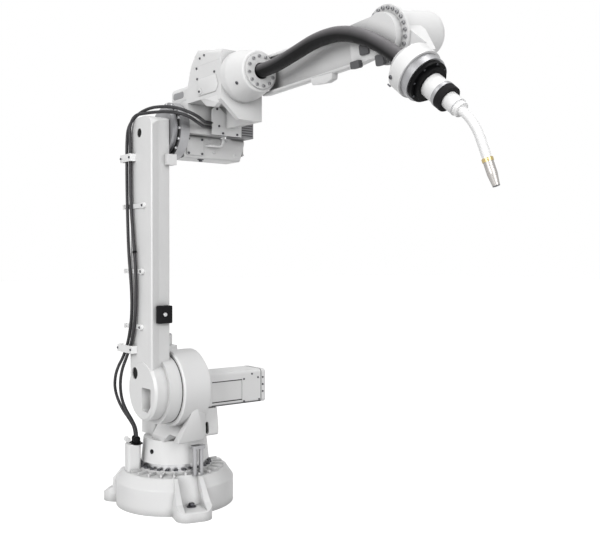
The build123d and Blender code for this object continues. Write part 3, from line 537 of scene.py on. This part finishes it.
def tube(route, diameter):
    """A round tube along the smooth line of a route's control points."""
    line = bpy.data.curves.new("route", "CURVE")
    line.dimensions = "3D"
    spline = line.splines.new("NURBS")
    spline.points.add(len(route) - 1)
    for point, place in zip(spline.points, route):
        point.co = (*place, 1)
    spline.order_u = 3
    spline.use_endpoint_u = True
    line.resolution_u = 16
    line.bevel_depth = diameter / 2
    line.bevel_resolution = 6
    line.use_fill_caps = True
    holder = bpy.data.objects.new("route", line)
    bpy.context.scene.collection.objects.link(holder)
    bpy.context.view_layer.update()
    mesh = bpy.data.meshes.new_from_object(holder.evaluated_get(bpy.context.evaluated_depsgraph_get()))
    bpy.data.objects.remove(holder)
    form = bmesh.new()
    form.from_mesh(mesh)
    bpy.data.meshes.remove(mesh)
    return form


def cut_at(form, height, keep_upper):
    """Keeps the part of a tube over or under a height, and closes the cut."""
    made = bmesh.ops.bisect_plane(
        form, geom=form.verts[:] + form.edges[:] + form.faces[:], plane_co=(0, 0, height), plane_no=(0, 0, 1),
        clear_inner=keep_upper, clear_outer=not keep_upper,
    )
    rim = [item for item in made["geom_cut"] if isinstance(item, bmesh.types.BMEdge)]
    bmesh.ops.contextual_create(form, geom=rim)


# Cable and hose routes, with the points of the part's source in metres
CABLE_LINE = -0.220
SHOULDER_BOWS = (
    ((-0.161, -0.170, -0.130), (-0.181, -0.184, -0.096), (-0.190, -0.196, -0.058), (-0.182, -0.206, -0.014),
     (-0.164, -0.213, 0.028), (-0.136, -0.218, 0.066), (-0.104, -0.220, 0.101)),
    ((-0.182, -0.170, -0.130), (-0.206, -0.182, -0.102), (-0.230, -0.192, -0.066), (-0.238, -0.202, -0.022),
     (-0.214, -0.211, 0.026), (-0.172, -0.218, 0.068), (-0.130, -0.220, 0.101)),
)
ARM_RUNS = (
    ((-0.086, 0.125), (-0.062, 0.157), (-0.033, 0.235), (-0.025, 0.311), (-0.025, 0.397), (-0.036, 0.477),
     (-0.065, 0.641), (-0.068, 0.758), (-0.068, 0.818)),
    ((-0.112, 0.125), (-0.088, 0.157), (-0.061, 0.235), (-0.056, 0.311), (-0.067, 0.397), (-0.082, 0.477),
     (-0.092, 0.641), (-0.095, 0.758), (-0.095, 0.818)),
)
ELBOW_BOWS = (
    ((-0.068, -0.220, -0.082), (-0.068, -0.220, -0.022), (-0.070, -0.222, 0.014), (-0.046, -0.214, 0.052),
     (-0.005, -0.193, 0.055), (0.038, -0.174, 0.055), (0.080, -0.158, 0.052), (0.126, -0.138, 0.044),
     (0.154, -0.110, 0.030), (0.148, -0.078, 0.016), (0.120, -0.044, 0.012), (0.093, -0.010, 0.013),
     (0.093, 0.1277, 0.013)),
    ((-0.095, -0.220, -0.082), (-0.095, -0.220, -0.022), (-0.086, -0.216, 0.022), (-0.048, -0.200, 0.058),
     (0.011, -0.184, 0.072), (0.064, -0.166, 0.071), (0.105, -0.150, 0.065), (0.140, -0.138, 0.056),
     (0.164, -0.112, 0.042), (0.162, -0.078, 0.030), (0.130, -0.044, 0.027), (0.093, -0.010, 0.028),
     (0.093, 0.1277, 0.028)),
)
GLAND_GAP = 0.024
GLANDS = [COLUMN @ Vector((-0.012, (0.5 - strand) * GLAND_GAP, 0.238)) for strand in range(2)]
GLAND_RISE = Vector((0, 0, 0.036))
# The height at which the cables pass from the base to the turret
TURRET_SPLIT = 0.278
HOSE_ROUTE = [FOREARM @ Vector(point) for point in (
    (0.3693, 0, 0), (0.4793, 0, 0), (0.5993, -0.002, 0.018), (0.7193, -0.002, 0.038), (0.8443, -0.002, 0.030),
)] + [WRIST @ Vector((0.048, 0, 0)), WRIST @ Vector((0.134, 0, 0))]


class ROBOT_OT_cables(bpy.types.Operator):
    """Lays the two motor cables from the glands along the lower arm to the elbow"""

    bl_idname = "robot.cables"
    bl_label = "Cables"

    def execute(self, context):
        diameter = context.scene.robot_sizes.cable_diameter
        for strand, gland in enumerate(GLANDS):
            run = [SHOULDER @ Vector((x, CABLE_LINE, z)) for x, z in ARM_RUNS[strand]]
            bow = [SHOULDER @ Vector(point) for point in SHOULDER_BOWS[strand]]
            rise = [gland, gland + GLAND_RISE, *bow, run[0]]
            for upper, name in ((False, "gland_cable"), (True, "shoulder_cable")):
                form = tube(rise, diameter)
                cut_at(form, TURRET_SPLIT, upper)
                piece = new_piece(f"{name}_{strand + 1}", form, "cable rubber", TUBE_EDGE)
                if upper:
                    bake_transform(piece)
                else:
                    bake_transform(piece)
                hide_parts("shoulder_cables")
            piece = new_piece(f"arm_cable_{strand + 1}", tube(run, diameter), "cable rubber", TUBE_EDGE)
            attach(piece, "lower_arm")
            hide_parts("arm_cables")
            over = [ELBOW @ Vector(point) for point in ELBOW_BOWS[strand]]
            piece = new_piece(f"elbow_cable_{strand + 1}", tube(over, diameter), "cable rubber", TUBE_EDGE)
            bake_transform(piece)
            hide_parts("elbow_cables")
        return {"FINISHED"}


class ROBOT_OT_hose(bpy.types.Operator):
    """Runs the process hose from the forearm hub to the wrist"""

    bl_idname = "robot.hose"
    bl_label = "Process hose"

    def execute(self, context):
        form = tube(HOSE_ROUTE, context.scene.robot_sizes.hose_diameter)
        piece = new_piece("hose", form, "hose rubber", TUBE_EDGE)
        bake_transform(piece)
        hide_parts("process_hose")
        return {"FINISHED"}


# Fittings on the base
FOOT_ANGLES = (-14.5, 105.5, -134.5)
FOOT_BOLT = Matrix.Translation((0.228, 0, 0.034))
GLAND_SEAT = 0.224
GLAND_NUT = 0.006
GLAND_DOME = ((0, 0), (0.0125, 0), (0.0125, 0.011), (0.0105, 0.016), (0.0072, 0.018), (0, 0.018))
CONNECTOR_BARREL = (
    (0, 0), (0.0085, 0), (0.0095, 0.002), (0.0095, 0.014), (0.0078, 0.016), (0.0078, 0.030), (0.0090, 0.031),
    (0.0090, 0.036), (0.0060, 0.037), (0, 0.037),
)
CONNECTOR_SEAL = ((0, 0.035), (0.0058, 0.035), (0.0058, 0.0385), (0, 0.0385))


class ROBOT_OT_base_fittings(bpy.types.Operator):
    """Sets the floor bolts, the bearing screws, the cable glands and the connector on the base"""

    bl_idname = "robot.base_fittings"
    bl_label = "Base fittings"

    def execute(self, context):
        form = bmesh.new()
        for angle in FOOT_ANGLES:
            hex_bolt(form, Matrix.Rotation(radians(angle), 4, "Z") @ FOOT_BOLT, radius=0.011, height=0.010)
        fitted("floor_bolts", form, "dark screws", "base")
        ring = circle_places(BASE, (0, 0, 0.138), (0, 0, 1), radius=0.1275, count=26)
        screws("bearing_screws", "base", ring, radius=0.0080, height=0.006)
        form = bmesh.new()
        for gland in GLANDS:
            seat = Matrix.Translation((gland.x, gland.y, GLAND_SEAT))
            hex_bolt(form, seat, radius=0.0142, height=GLAND_NUT)
            turned(form, raised(seat, WASHER + GLAND_NUT - SUNK), GLAND_DOME)
        fitted("gland_nuts", form, "black moulding", "base")
        socket = facing(COLUMN, (0.013, -0.014, 0.2335), (0, -1, 0))
        form = bmesh.new()
        turned(form, socket, CONNECTOR_BARREL)
        fitted("connector_barrel", form, "white moulding", "base")
        form = bmesh.new()
        turned(form, socket, CONNECTOR_SEAL)
        fitted("connector_seal", form, "black moulding", "base")
        return {"FINISHED"}


# Corners of the sloped web between the shoulder block and the drum
SHOULDER_WEB = (
    (0.127, -0.070, -0.036), (0.065, -0.106, -0.187), (0.0762, -0.006, -0.080), (0.0762, -0.006, -0.180),
    (0.108, -0.022, -0.064), (0.020, -0.100, -0.187), (0.020, -0.020, -0.187), (0.050, -0.020, -0.050),
)


class ROBOT_OT_shoulder_fittings(bpy.types.Operator):
    """Sets the bare panel's frame, the seams, painted shade in a slot, a hole, the drum's gap and under the motor, the
    web and the screws on the shoulder and the motor of axis 2
    """

    bl_idname = "robot.shoulder_fittings"
    bl_label = "Shoulder fittings"

    def execute(self, context):
        form = bmesh.new()
        panel = front_face(SHOULDER, 0.063)
        for low, high in ((-0.0605, -0.0580), (0.0120, 0.0145)):
            plate(form, panel, (0.031, low, 0.157, high), depth=0.0022)
        cap_seam = near_face(SHOULDER, 0.2406)
        plate(form, cap_seam, (-0.0564, -0.0764, 0.0664, 0.0464), depth=0.0012, edge=0.0003, corner=0.0122)
        # Painted shade: a dark plate in the slot in the shoulder's front.
        plate(form, front_face(SHOULDER, 0.064), (-0.0015, -0.163, 0.0095, -0.123), depth=0.002)
        # Painted shade: a dark plug in the hole in the turret table.
        plug(form, facing(BASE, (0.0355, -0.1135, 0.200), (0.299, -0.954, 0.1)), radius=0.0090, height=0.002)
        # Painted shade: a dark ring in the gap where the lower arm's hub meets the drum.
        drum = facing(SHOULDER, (0, 0, 0), (0, -1, 0))
        turned(form, drum, band(0.1170, 0.1200, 0.1171, 0.1195), steps=96)
        fitted("shoulder_seams_and_shade", form, "dark seams and painted shade", "turret")
        # Painted shade: a dark strip along the lower front edge of the motor of axis 2.
        form = bmesh.new()
        plate(form, front_face(SHOULDER, 0.0645), (0.030, -0.0735, 0.236, -0.0695), depth=0.0022, edge=0.001)
        fitted("motor_underside_shade", form, "smoke moulding", "turret")
        form = bmesh.new()
        corners = [form.verts.new(SHOULDER @ Vector(corner)) for corner in SHOULDER_WEB]
        bmesh.ops.convex_hull(form, input=corners)
        bmesh.ops.dissolve_limit(form, angle_limit=radians(2), verts=form.verts[:], edges=form.edges[:])
        bmesh.ops.bevel(
            form, geom=form.edges[:], offset=0.003, segments=2, profile=0.5, affect="EDGES", material=-1
        )
        fitted("shoulder_web", form, "arm paint", "turret")
        places = spots(
            front_face(SHOULDER, 0.066), (0.165, 0.015), (0.227, 0.016), (0.165, -0.066), (0.232, -0.065),
            (0.248, 0.015), (0.248, -0.011), (0.248, -0.037), (0.200, 0.031),
        )
        places += spots(
            far_face(SHOULDER, 0.262), (0.044, -0.064), (-0.054, -0.064), (-0.054, 0.034), (0.044, 0.034)
        )
        screws("motor_screws", "turret", places, radius=0.0034, height=0.0025)
        return {"FINISHED"}


class ROBOT_OT_arm_fittings(bpy.types.Operator):
    """Sets dark plugs of painted shade in the holes, the strap screws, the bumper's screw and the cable tie on the
    lower arm
    """

    bl_idname = "robot.arm_fittings"
    bl_label = "Lower arm fittings"

    def execute(self, context):
        # Painted shade: dark plugs in the arm's two holes.
        form = bmesh.new()
        hollow = near_face(SHOULDER, -0.2065)
        plug(form, spot(hollow, -0.051, 0.055), radius=0.0205, height=0.002)
        plug(form, spot(hollow, -0.018, 0.887), radius=0.0155, height=0.002)
        fitted("arm_hole_shade", form, "dark seams and painted shade", "lower_arm")
        straps = near_face(SHOULDER, -0.220)
        clamps = near_face(SHOULDER, -0.232)
        places = spots(straps, (0.001, 0.218), (0.009, 0.410), (0.021, 0.636))
        places += spots(clamps, (-0.145, 0.138), (-0.043, 0.138), (-0.117, 0.805), (-0.051, 0.805))
        screws("strap_screws", "lower_arm", places, radius=0.0042, height=0.003)
        bumper = spots(front_face(SHOULDER, 0.080), (-0.16275, 0.264))
        screws("bumper_screw", "lower_arm", bumper, radius=0.007, height=0.003, finish="bright screws")
        form = bmesh.new()
        x, z = ARM_RUNS[0][5]
        tie = facing(SHOULDER, (x, CABLE_LINE, z), (-0.17, 0, 1))
        turned(form, tie, band(0.0055, 0.0074, -0.003, 0.003))
        lock = near_face(SHOULDER, CABLE_LINE - 0.006)
        plate(form, lock, (x + 0.001, z - 0.004, x + 0.009, z + 0.004), depth=0.003)
        fitted("cable_tie", form, "black moulding", "lower_arm")
        return {"FINISHED"}


# Outlines on the near side of the elbow housing
LEDGE = ((0.158, 0.100), (0.270, 0.100), (0.285, 0.120), (0.270, 0.157), (0.158, 0.157))
GUSSET = ((0.160, 0.096), (0.206, 0.061), (0.257, 0.052), (0.282, 0.062), (0.282, 0.100), (0.187, 0.100))
CROWN = ((0.104, 0.202), (0.3008, 0.202), (0.3008, 0.2328), (0.143, 0.2596), (0.1235, 0.2446))
# Heights of what stands on the elbow's faces
LEDGE_HEIGHT = 0.004
BOSS_HEIGHT = 0.003
CROWN_HEIGHT = 0.0481
MOTOR_PLATE = 0.005
REAR_PLATE = 0.004
DRAIN_ROUTE = (
    (0.040, 0.020, -0.046), (0.060, 0.020, -0.046), (0.066, 0.045, -0.047), (0.066, 0.078, -0.046),
    (0.066, 0.079, -0.006),
)
SLAT_COUNT = 5
SLAT_PITCH = 0.009


class ROBOT_OT_elbow_fittings(bpy.types.Operator):
    """Sets the pads, screws, seal, drain and vent slats on the elbow, and a grey plate of painted shade on the motor's
    side
    """

    bl_idname = "robot.elbow_fittings"
    bl_label = "Elbow fittings"

    def execute(self, context):
        ring = circle_places(ELBOW, (0, -0.1117, 0), (0, -1, 0), radius=0.0925, count=16)
        small = context.scene.robot_sizes.screw_radius
        screws("elbow_screws", "elbow", ring, small, height=0.006, finish="bright screws")
        housing = near_face(ELBOW, -0.0777)
        ledge = raised(housing, LEDGE_HEIGHT)
        crown = near_face(ELBOW, -0.030)
        motor = front_face(ELBOW, 0.044)
        rear = rear_face(ELBOW, -0.100)
        form = bmesh.new()
        prism(form, housing, LEDGE, LEDGE_HEIGHT, edge=0.0015, corner=0.004)
        prism(form, near_face(ELBOW, -0.0617), GUSSET, depth=0.0158, edge=0.002, corner=0.004)
        prism(form, crown, CROWN, CROWN_HEIGHT, edge=0.014, steps=5, lowest=0.21)
        plate(form, motor, (-0.060, -0.082, 0.006, -0.020), MOTOR_PLATE, edge=0.001, corner=0.004)
        turned(form, spot(ledge, 0.174, 0.113), boss(0.010, BOSS_HEIGHT))
        plate(form, rear, (-0.028, 0.115, 0.028, 0.161), REAR_PLATE, edge=0.001, corner=0.008)
        fitted("elbow_pads", form, "arm paint", "elbow")
        places = spots(raised(ledge, BOSS_HEIGHT), (0.174, 0.113)) + spots(housing, (0.260, 0.166))
        places += spots(
            raised(crown, CROWN_HEIGHT), (0.168, 0.226), (0.196, 0.2315), (0.146, 0.196), (0.150, 0.160)
        )
        places += spots(
            front_face(ELBOW, 0.104), (0.028, 0.078), (0.094, 0.053), (0.036, 0.019), (0.052, -0.005), (0.111, -0.005)
        )
        places += spots(
            raised(rear, REAR_PLATE), (-0.022, 0.121), (0.022, 0.121), (0.022, 0.155), (-0.022, 0.155)
        )
        places += spots(
            raised(motor, MOTOR_PLATE), (-0.054, -0.076), (0.000, -0.076), (0.000, -0.026), (-0.054, -0.026)
        )
        screws("housing_screws", "elbow", places, radius=0.0040, height=0.003)
        places = spots(motor, (0.035, -0.023), (0.103, -0.021), (0.052, -0.068), (0.140, -0.070))
        screws("motor_face_screws", "elbow", places, radius=0.0038, height=0.003, finish="bright screws")
        pipe = tube([ELBOW @ Vector(point) for point in DRAIN_ROUTE], diameter=0.009)
        fitted("drain_pipe", pipe, "white moulding", "elbow")
        form = bmesh.new()
        flange = facing(ELBOW, (0, 0, 0), (0, -1, 0))
        turned(form, flange, band(0.0840, 0.0864, 0.1119, 0.1185), steps=64)
        fitted("elbow_seal", form, "dark seams and painted shade", "elbow")
        form = bmesh.new()
        hex_bolt(form, facing(ELBOW, (0.026, 0.007, -0.092), (0, 0, -1)), radius=0.0075, height=0.006)
        fitted("drain_plug", form, "dark screws", "elbow")
        form = bmesh.new()
        vent = front_face(ELBOW, 0.100)
        for step in range(SLAT_COUNT):
            low = -0.006 + step * SLAT_PITCH
            plate(form, vent, (0.134, low, 0.180, low + 0.004), depth=0.0012)
        fitted("vent_slats", form, "smoke moulding", "elbow")
        form = bmesh.new()
        # Painted shade: a grey plate where the motor's side has a shaded recess.
        motor_side = near_face(ELBOW, -0.038)
        plate(form, motor_side, (-0.088, 0.128, -0.014, 0.151), depth=0.0015, edge=0.0005, corner=0.010)
        fitted("motor_recess_shade", form, "grey moulding", "elbow")
        return {"FINISHED"}


BEAM_LUG = ((0.618, -0.060), (0.625, -0.082), (0.690, -0.086), (0.716, -0.080), (0.722, -0.060))


class ROBOT_OT_forearm_fittings(bpy.types.Operator):
    """Sets the screws, the plug, the lug and the connectors along the forearm"""

    bl_idname = "robot.forearm_fittings"
    bl_label = "Forearm fittings"

    def execute(self, context):
        small = context.scene.robot_sizes.screw_radius
        ring = circle_places(FOREARM, (0.4163, 0, 0), (1, 0, 0), radius=0.0475, count=12)
        screws("hose_ring_screws", "forearm", ring, small, height=0.005, finish="dull steel")
        ring = circle_places(FOREARM, (FOREARM_LENGTH, 0.0524, 0), (0, -1, 0), radius=0.0715, count=24)
        screws("tilt_screws", "forearm", ring, small, height=0.006, finish="dull steel")
        hub_side = facing(FOREARM, (0.372, -0.0691, -0.0267), (0, -0.933, -0.36))
        screws("hub_plug", "forearm", [hub_side], radius=0.0055, height=0.003)
        form = bmesh.new()
        prism(form, near_face(FOREARM, 0.050), BEAM_LUG, depth=0.022, edge=0.002, corner=0.004)
        fitted("beam_lug", form, "arm paint", "forearm")
        form = bmesh.new()
        side = near_face(FOREARM, 0.0285)
        for sides, depth in (
            ((0.817, -0.070, 0.854, -0.049), 0.014),
            ((0.855, -0.039, 0.891, -0.010), 0.008),
            ((0.915, -0.080, 0.947, -0.050), 0.010),
        ):
            plate(form, side, sides, depth, edge=0.002, corner=0.005)
        fitted("beam_connectors", form, "smoke moulding", "forearm")
        return {"FINISHED"}


# Rings round the torch, each from its start, its end and its outer radius
DISC_LIP = ((0.2455, 0.2490, 0.0478),)
TORCH_RINGS = ((0.2860, 0.2903, 0.0342), (0.2905, 0.2975, 0.0358), (0.3500, 0.3523, 0.0236))
RING_WALL = 0.004
RING_EDGE = 0.0005
COLLAR_RIBS = (0.3035, 0.3105)
NOZZLE_TIP_SHADE = ((0.0060, 0), (0.0092, 0), (0.0092, 0.0012), (0.0088, 0.0018), (0.0060, 0.0018))


class ROBOT_OT_torch_fittings(bpy.types.Operator):
    """Sets the plugs, the screws, the rings, the ribs, the disc's lip and a dark ring of painted shade at the nozzle
    on the wrist and the torch
    """

    bl_idname = "robot.torch_fittings"
    bl_label = "Torch fittings"

    def execute(self, context):
        plugs = ((0.169, -0.0635, -0.0228), (0.150, -0.034, -0.0585))
        places = [facing(WRIST, place, (0, *place[1:])) for place in plugs]
        screws("wrist_plugs", "wrist", places, radius=0.0055, height=0.004)
        ring = circle_places(WRIST, (0.2383, 0, 0), (1, 0, 0), radius=0.0520, count=8)
        screws("disc_screws", "tool", ring, radius=0.003, height=0.002)
        axis = facing(WRIST, (0, 0, 0), (1, 0, 0))
        for name, finish, rings in (
            ("disc_lip", "black moulding", DISC_LIP), ("torch_rings", "dull steel", TORCH_RINGS)
        ):
            form = bmesh.new()
            for start, stop, outer in rings:
                inner = outer - RING_WALL
                turned(form, axis, (
                    (inner, start), (outer, start), (outer, stop - RING_EDGE), (outer - RING_EDGE, stop), (inner, stop)
                ), steps=48)
            fitted(name, form, finish, "tool")
        form = bmesh.new()
        for middle in COLLAR_RIBS:
            turned(form, axis, (
                (0.034, middle - 0.002), (0.0354, middle - 0.001), (0.0354, middle + 0.001), (0.034, middle + 0.002)
            ), steps=48)
        fitted("collar_ribs", form, "bumper rubber", "tool")
        form = bmesh.new()
        # Painted shade: a dark ring at the nozzle's tip.
        turned(form, facing(NOZZLE, (0.0695, 0, 0), (1, 0, 0)), NOZZLE_TIP_SHADE, steps=32)
        fitted("nozzle_tip_shade", form, "dark screws", "tool")
        return {"FINISHED"}


# Heights of the covers on the sides that look away from the cables, and the end that the last one stands on
HOUSING_COVER = 0.004
MOTOR_COVER = 0.003
BEAM_COVER = 0.003
TILT_COVER = 0.003
TILT_END = 0.2317
CONNECTOR_STUB = ((0, -SUNK), (0.011, -SUNK), (0.011, 0.012), (0.009, 0.014), (0.009, 0.022), (0, 0.022))


class ROBOT_OT_rear_fittings(bpy.types.Operator):
    """Sets the covers, screws and connector on the sides that look away from the cables"""

    bl_idname = "robot.rear_fittings"
    bl_label = "Rear fittings"

    def execute(self, context):
        ring = circle_places(BASE, (-0.076, -0.025, 0.6123), (0, 0, 1), radius=0.041, count=6)
        screws("turning_motor_screws", "turret", ring, radius=0.004, height=0.003)
        form = bmesh.new()
        plate(form, rear_face(BASE, -0.128), (0.003, 0.470, 0.047, 0.530), depth=0.016, edge=0.003, corner=0.006)
        for z in (0.485, 0.515):
            turned(form, facing(BASE, (-0.144, -0.025, z), (-1, 0, 0)), CONNECTOR_STUB)
        fitted("turning_motor_connector", form, "black moulding", "turret")
        housing = far_face(ELBOW, 0.0823)
        motor = far_face(ELBOW, 0.180)
        form = bmesh.new()
        plate(form, housing, (-0.272, 0.104, -0.132, 0.196), HOUSING_COVER, edge=0.001, corner=0.012)
        plate(form, motor, (-0.036, -0.070, 0.048, -0.022), MOTOR_COVER, edge=0.001, corner=0.006)
        fitted("elbow_covers", form, "arm paint", "elbow")
        places = spots(
            raised(housing, HOUSING_COVER), (-0.262, 0.114), (-0.142, 0.114), (-0.142, 0.186), (-0.262, 0.186),
            (-0.202, 0.186), (-0.202, 0.114),
        )
        places += spots(
            raised(motor, MOTOR_COVER), (-0.030, -0.064), (0.042, -0.064), (0.042, -0.028), (-0.030, -0.028)
        )
        screws("elbow_cover_screws", "elbow", places, radius=0.004, height=0.003)
        slope = face_of(FOREARM, (0.587, 0.0715, -0.008), (-0.99893, 0.04631, 0), (0, 0, 1))
        form = bmesh.new()
        plate(form, slope, (-0.110, -0.040, 0.110, 0.034), BEAM_COVER, edge=0.001, corner=0.010)
        fitted("beam_cover", form, "arm paint", "forearm")
        grid = [(x, z) for x in (-0.102, 0, 0.102) for z in (-0.032, 0.026)]
        places = spots(raised(slope, BEAM_COVER), *grid)
        screws("beam_cover_screws", "forearm", places, radius=0.004, height=0.003)
        form = bmesh.new()
        turned(form, facing(WRIST, (0, TILT_END, 0), (0, 1, 0)), boss(0.033, TILT_COVER), steps=48)
        fitted("tilt_cover", form, "arm paint", "wrist")
        ring = circle_places(WRIST, (0, TILT_END + TILT_COVER, 0), (0, 1, 0), radius=0.026, count=6)
        screws("tilt_cover_screws", "wrist", ring, radius=0.004, height=0.003)
        return {"FINISHED"}


# The studio: each light has its name, place, size in metres and power in watts
LIGHTS = (
    ("key light", (2.6, -6.6, 3.0), 4.0, 285),
    ("top light", (0.6, 0.2, 9.0), 4.0, 240),
    ("front light", (6.6, -1.2, 2.6), 3.0, 165),
)
LIGHT_TARGET = Vector((0.4, 0, 0.9))
# The camera: the focal length and the width of the picture are in pixels, the sensor in millimetres
FOCAL_LENGTH = 817.3
PICTURE_WIDTH = 600
SENSOR_WIDTH = 36
EYE = (2.708, -1.4826, 0.8963)
LOOK = Vector((-0.7944, 0.6074, -0.0087))


def aimed(name, data, place, direction):
    """A light or a camera at a place, that looks along a direction."""
    holder = bpy.data.objects.new(name, data)
    holder.location = place
    holder.rotation_mode = "QUATERNION"
    holder.rotation_quaternion = direction.to_track_quat("-Z", "Y")
    bpy.context.scene.collection.objects.link(holder)
    return holder


def seen_directly(tree):
    """A factor of one where the camera, a reflection or a see-through surface sees the background."""
    path = tree.nodes.new("ShaderNodeLightPath")
    total = path.outputs["Is Camera Ray"]
    for ray in ("Is Glossy Ray", "Is Transmission Ray"):
        adder = tree.nodes.new("ShaderNodeMath")
        adder.operation = "MAXIMUM"
        tree.links.new(total, adder.inputs[0])
        tree.links.new(path.outputs[ray], adder.inputs[1])
        total = adder.outputs[0]
    return total


def lay_floor():
    """A wide pale floor that stays white in the picture and keeps the robot's shadow."""
    form = bmesh.new()
    bmesh.ops.create_grid(form, x_segments=1, y_segments=1, size=30)
    tree, surface, place = new_finish("pale floor", (0.36, 0.36, 0.36, 1), roughness=0.9)
    patches = noise(tree, place, scale=3, detail=2)
    coloured(tree, surface, tinted(tree, patches, (0.35, 0.35, 0.35, 1), (0.37, 0.37, 0.37, 1)))
    surface.inputs["Emission Color"].default_value = (1, 1, 1, 1)
    glow = tree.nodes.new("ShaderNodeMath")
    glow.operation = "MULTIPLY"
    glow.inputs[1].default_value = 0.88
    tree.links.new(seen_directly(tree), glow.inputs[0])
    tree.links.new(glow.outputs[0], surface.inputs["Emission Strength"])
    new_piece("floor", form, "pale floor")


def hang_backdrop(scene):
    """A white world that lights the robot softly."""
    world = bpy.data.worlds.new("studio")
    world.use_nodes = True
    tree = world.node_tree
    soft = tree.nodes["Background"]
    soft.inputs["Color"].default_value = (1, 1, 1, 1)
    soft.inputs["Strength"].default_value = 0.26
    white = tree.nodes.new("ShaderNodeBackground")
    white.inputs["Color"].default_value = (1, 1, 1, 1)
    mix = tree.nodes.new("ShaderNodeMixShader")
    tree.links.new(seen_directly(tree), mix.inputs[0])
    tree.links.new(soft.outputs[0], mix.inputs[1])
    tree.links.new(white.outputs[0], mix.inputs[2])
    tree.links.new(mix.outputs[0], tree.nodes["World Output"].inputs["Surface"])
    scene.world = world


class ROBOT_OT_stage(bpy.types.Operator):
    """Lays the pale floor and sets the lights and the camera"""

    bl_idname = "robot.stage"
    bl_label = "Studio"

    def execute(self, context):
        scene = context.scene
        scene.view_settings.view_transform = "Standard"
        lay_floor()
        hang_backdrop(scene)
        for name, place, size, power in LIGHTS:
            light = bpy.data.lights.new(name, "AREA")
            light.size = size
            light.energy = power
            aimed(name, light, place, LIGHT_TARGET - Vector(place))
        lens = bpy.data.cameras.new("camera")
        lens.sensor_width = SENSOR_WIDTH
        lens.lens = FOCAL_LENGTH / PICTURE_WIDTH * SENSOR_WIDTH
        scene.camera = aimed("camera", lens, EYE, LOOK)
        return {"FINISHED"}


class ROBOT_PT_panel(bpy.types.Panel):
    """Lists the robot's colours, sizes and dressing steps"""

    bl_label = "Welding robot"
    bl_idname = "ROBOT_PT_panel"
    bl_space_type = "VIEW_3D"
    bl_region_type = "UI"
    bl_category = "Robot"

    def draw(self, context):
        for group in (context.scene.robot_finishes, context.scene.robot_sizes):
            for prop in group.bl_rna.properties:
                if prop.identifier not in ("rna_type", "name"):
                    self.layout.prop(group, prop.identifier)
        for step in STEPS:
            self.layout.operator(step.bl_idname)


STEPS = (
    ROBOT_OT_finishes, ROBOT_OT_cables, ROBOT_OT_hose, ROBOT_OT_base_fittings, ROBOT_OT_shoulder_fittings,
    ROBOT_OT_arm_fittings, ROBOT_OT_elbow_fittings, ROBOT_OT_forearm_fittings, ROBOT_OT_torch_fittings,
    ROBOT_OT_rear_fittings, ROBOT_OT_stage,
)
CLASSES = (RobotFinishes, RobotSizes, *STEPS, ROBOT_PT_panel)


def register():
    for entry in CLASSES:
        bpy.utils.register_class(entry)
    bpy.types.Scene.robot_finishes = bpy.props.PointerProperty(type=RobotFinishes)
    bpy.types.Scene.robot_sizes = bpy.props.PointerProperty(type=RobotSizes)


def unregister():
    del bpy.types.Scene.robot_sizes
    del bpy.types.Scene.robot_finishes
    for entry in reversed(CLASSES):
        bpy.utils.unregister_class(entry)


def main():
    register()
    bpy.ops.robot.finishes()
    bpy.ops.robot.cables()
    bpy.ops.robot.hose()
    bpy.ops.robot.base_fittings()
    bpy.ops.robot.shoulder_fittings()
    bpy.ops.robot.arm_fittings()
    bpy.ops.robot.elbow_fittings()
    bpy.ops.robot.forearm_fittings()
    bpy.ops.robot.torch_fittings()
    bpy.ops.robot.rear_fittings()
    bpy.ops.robot.stage()


if __name__ == "__main__":
    main()
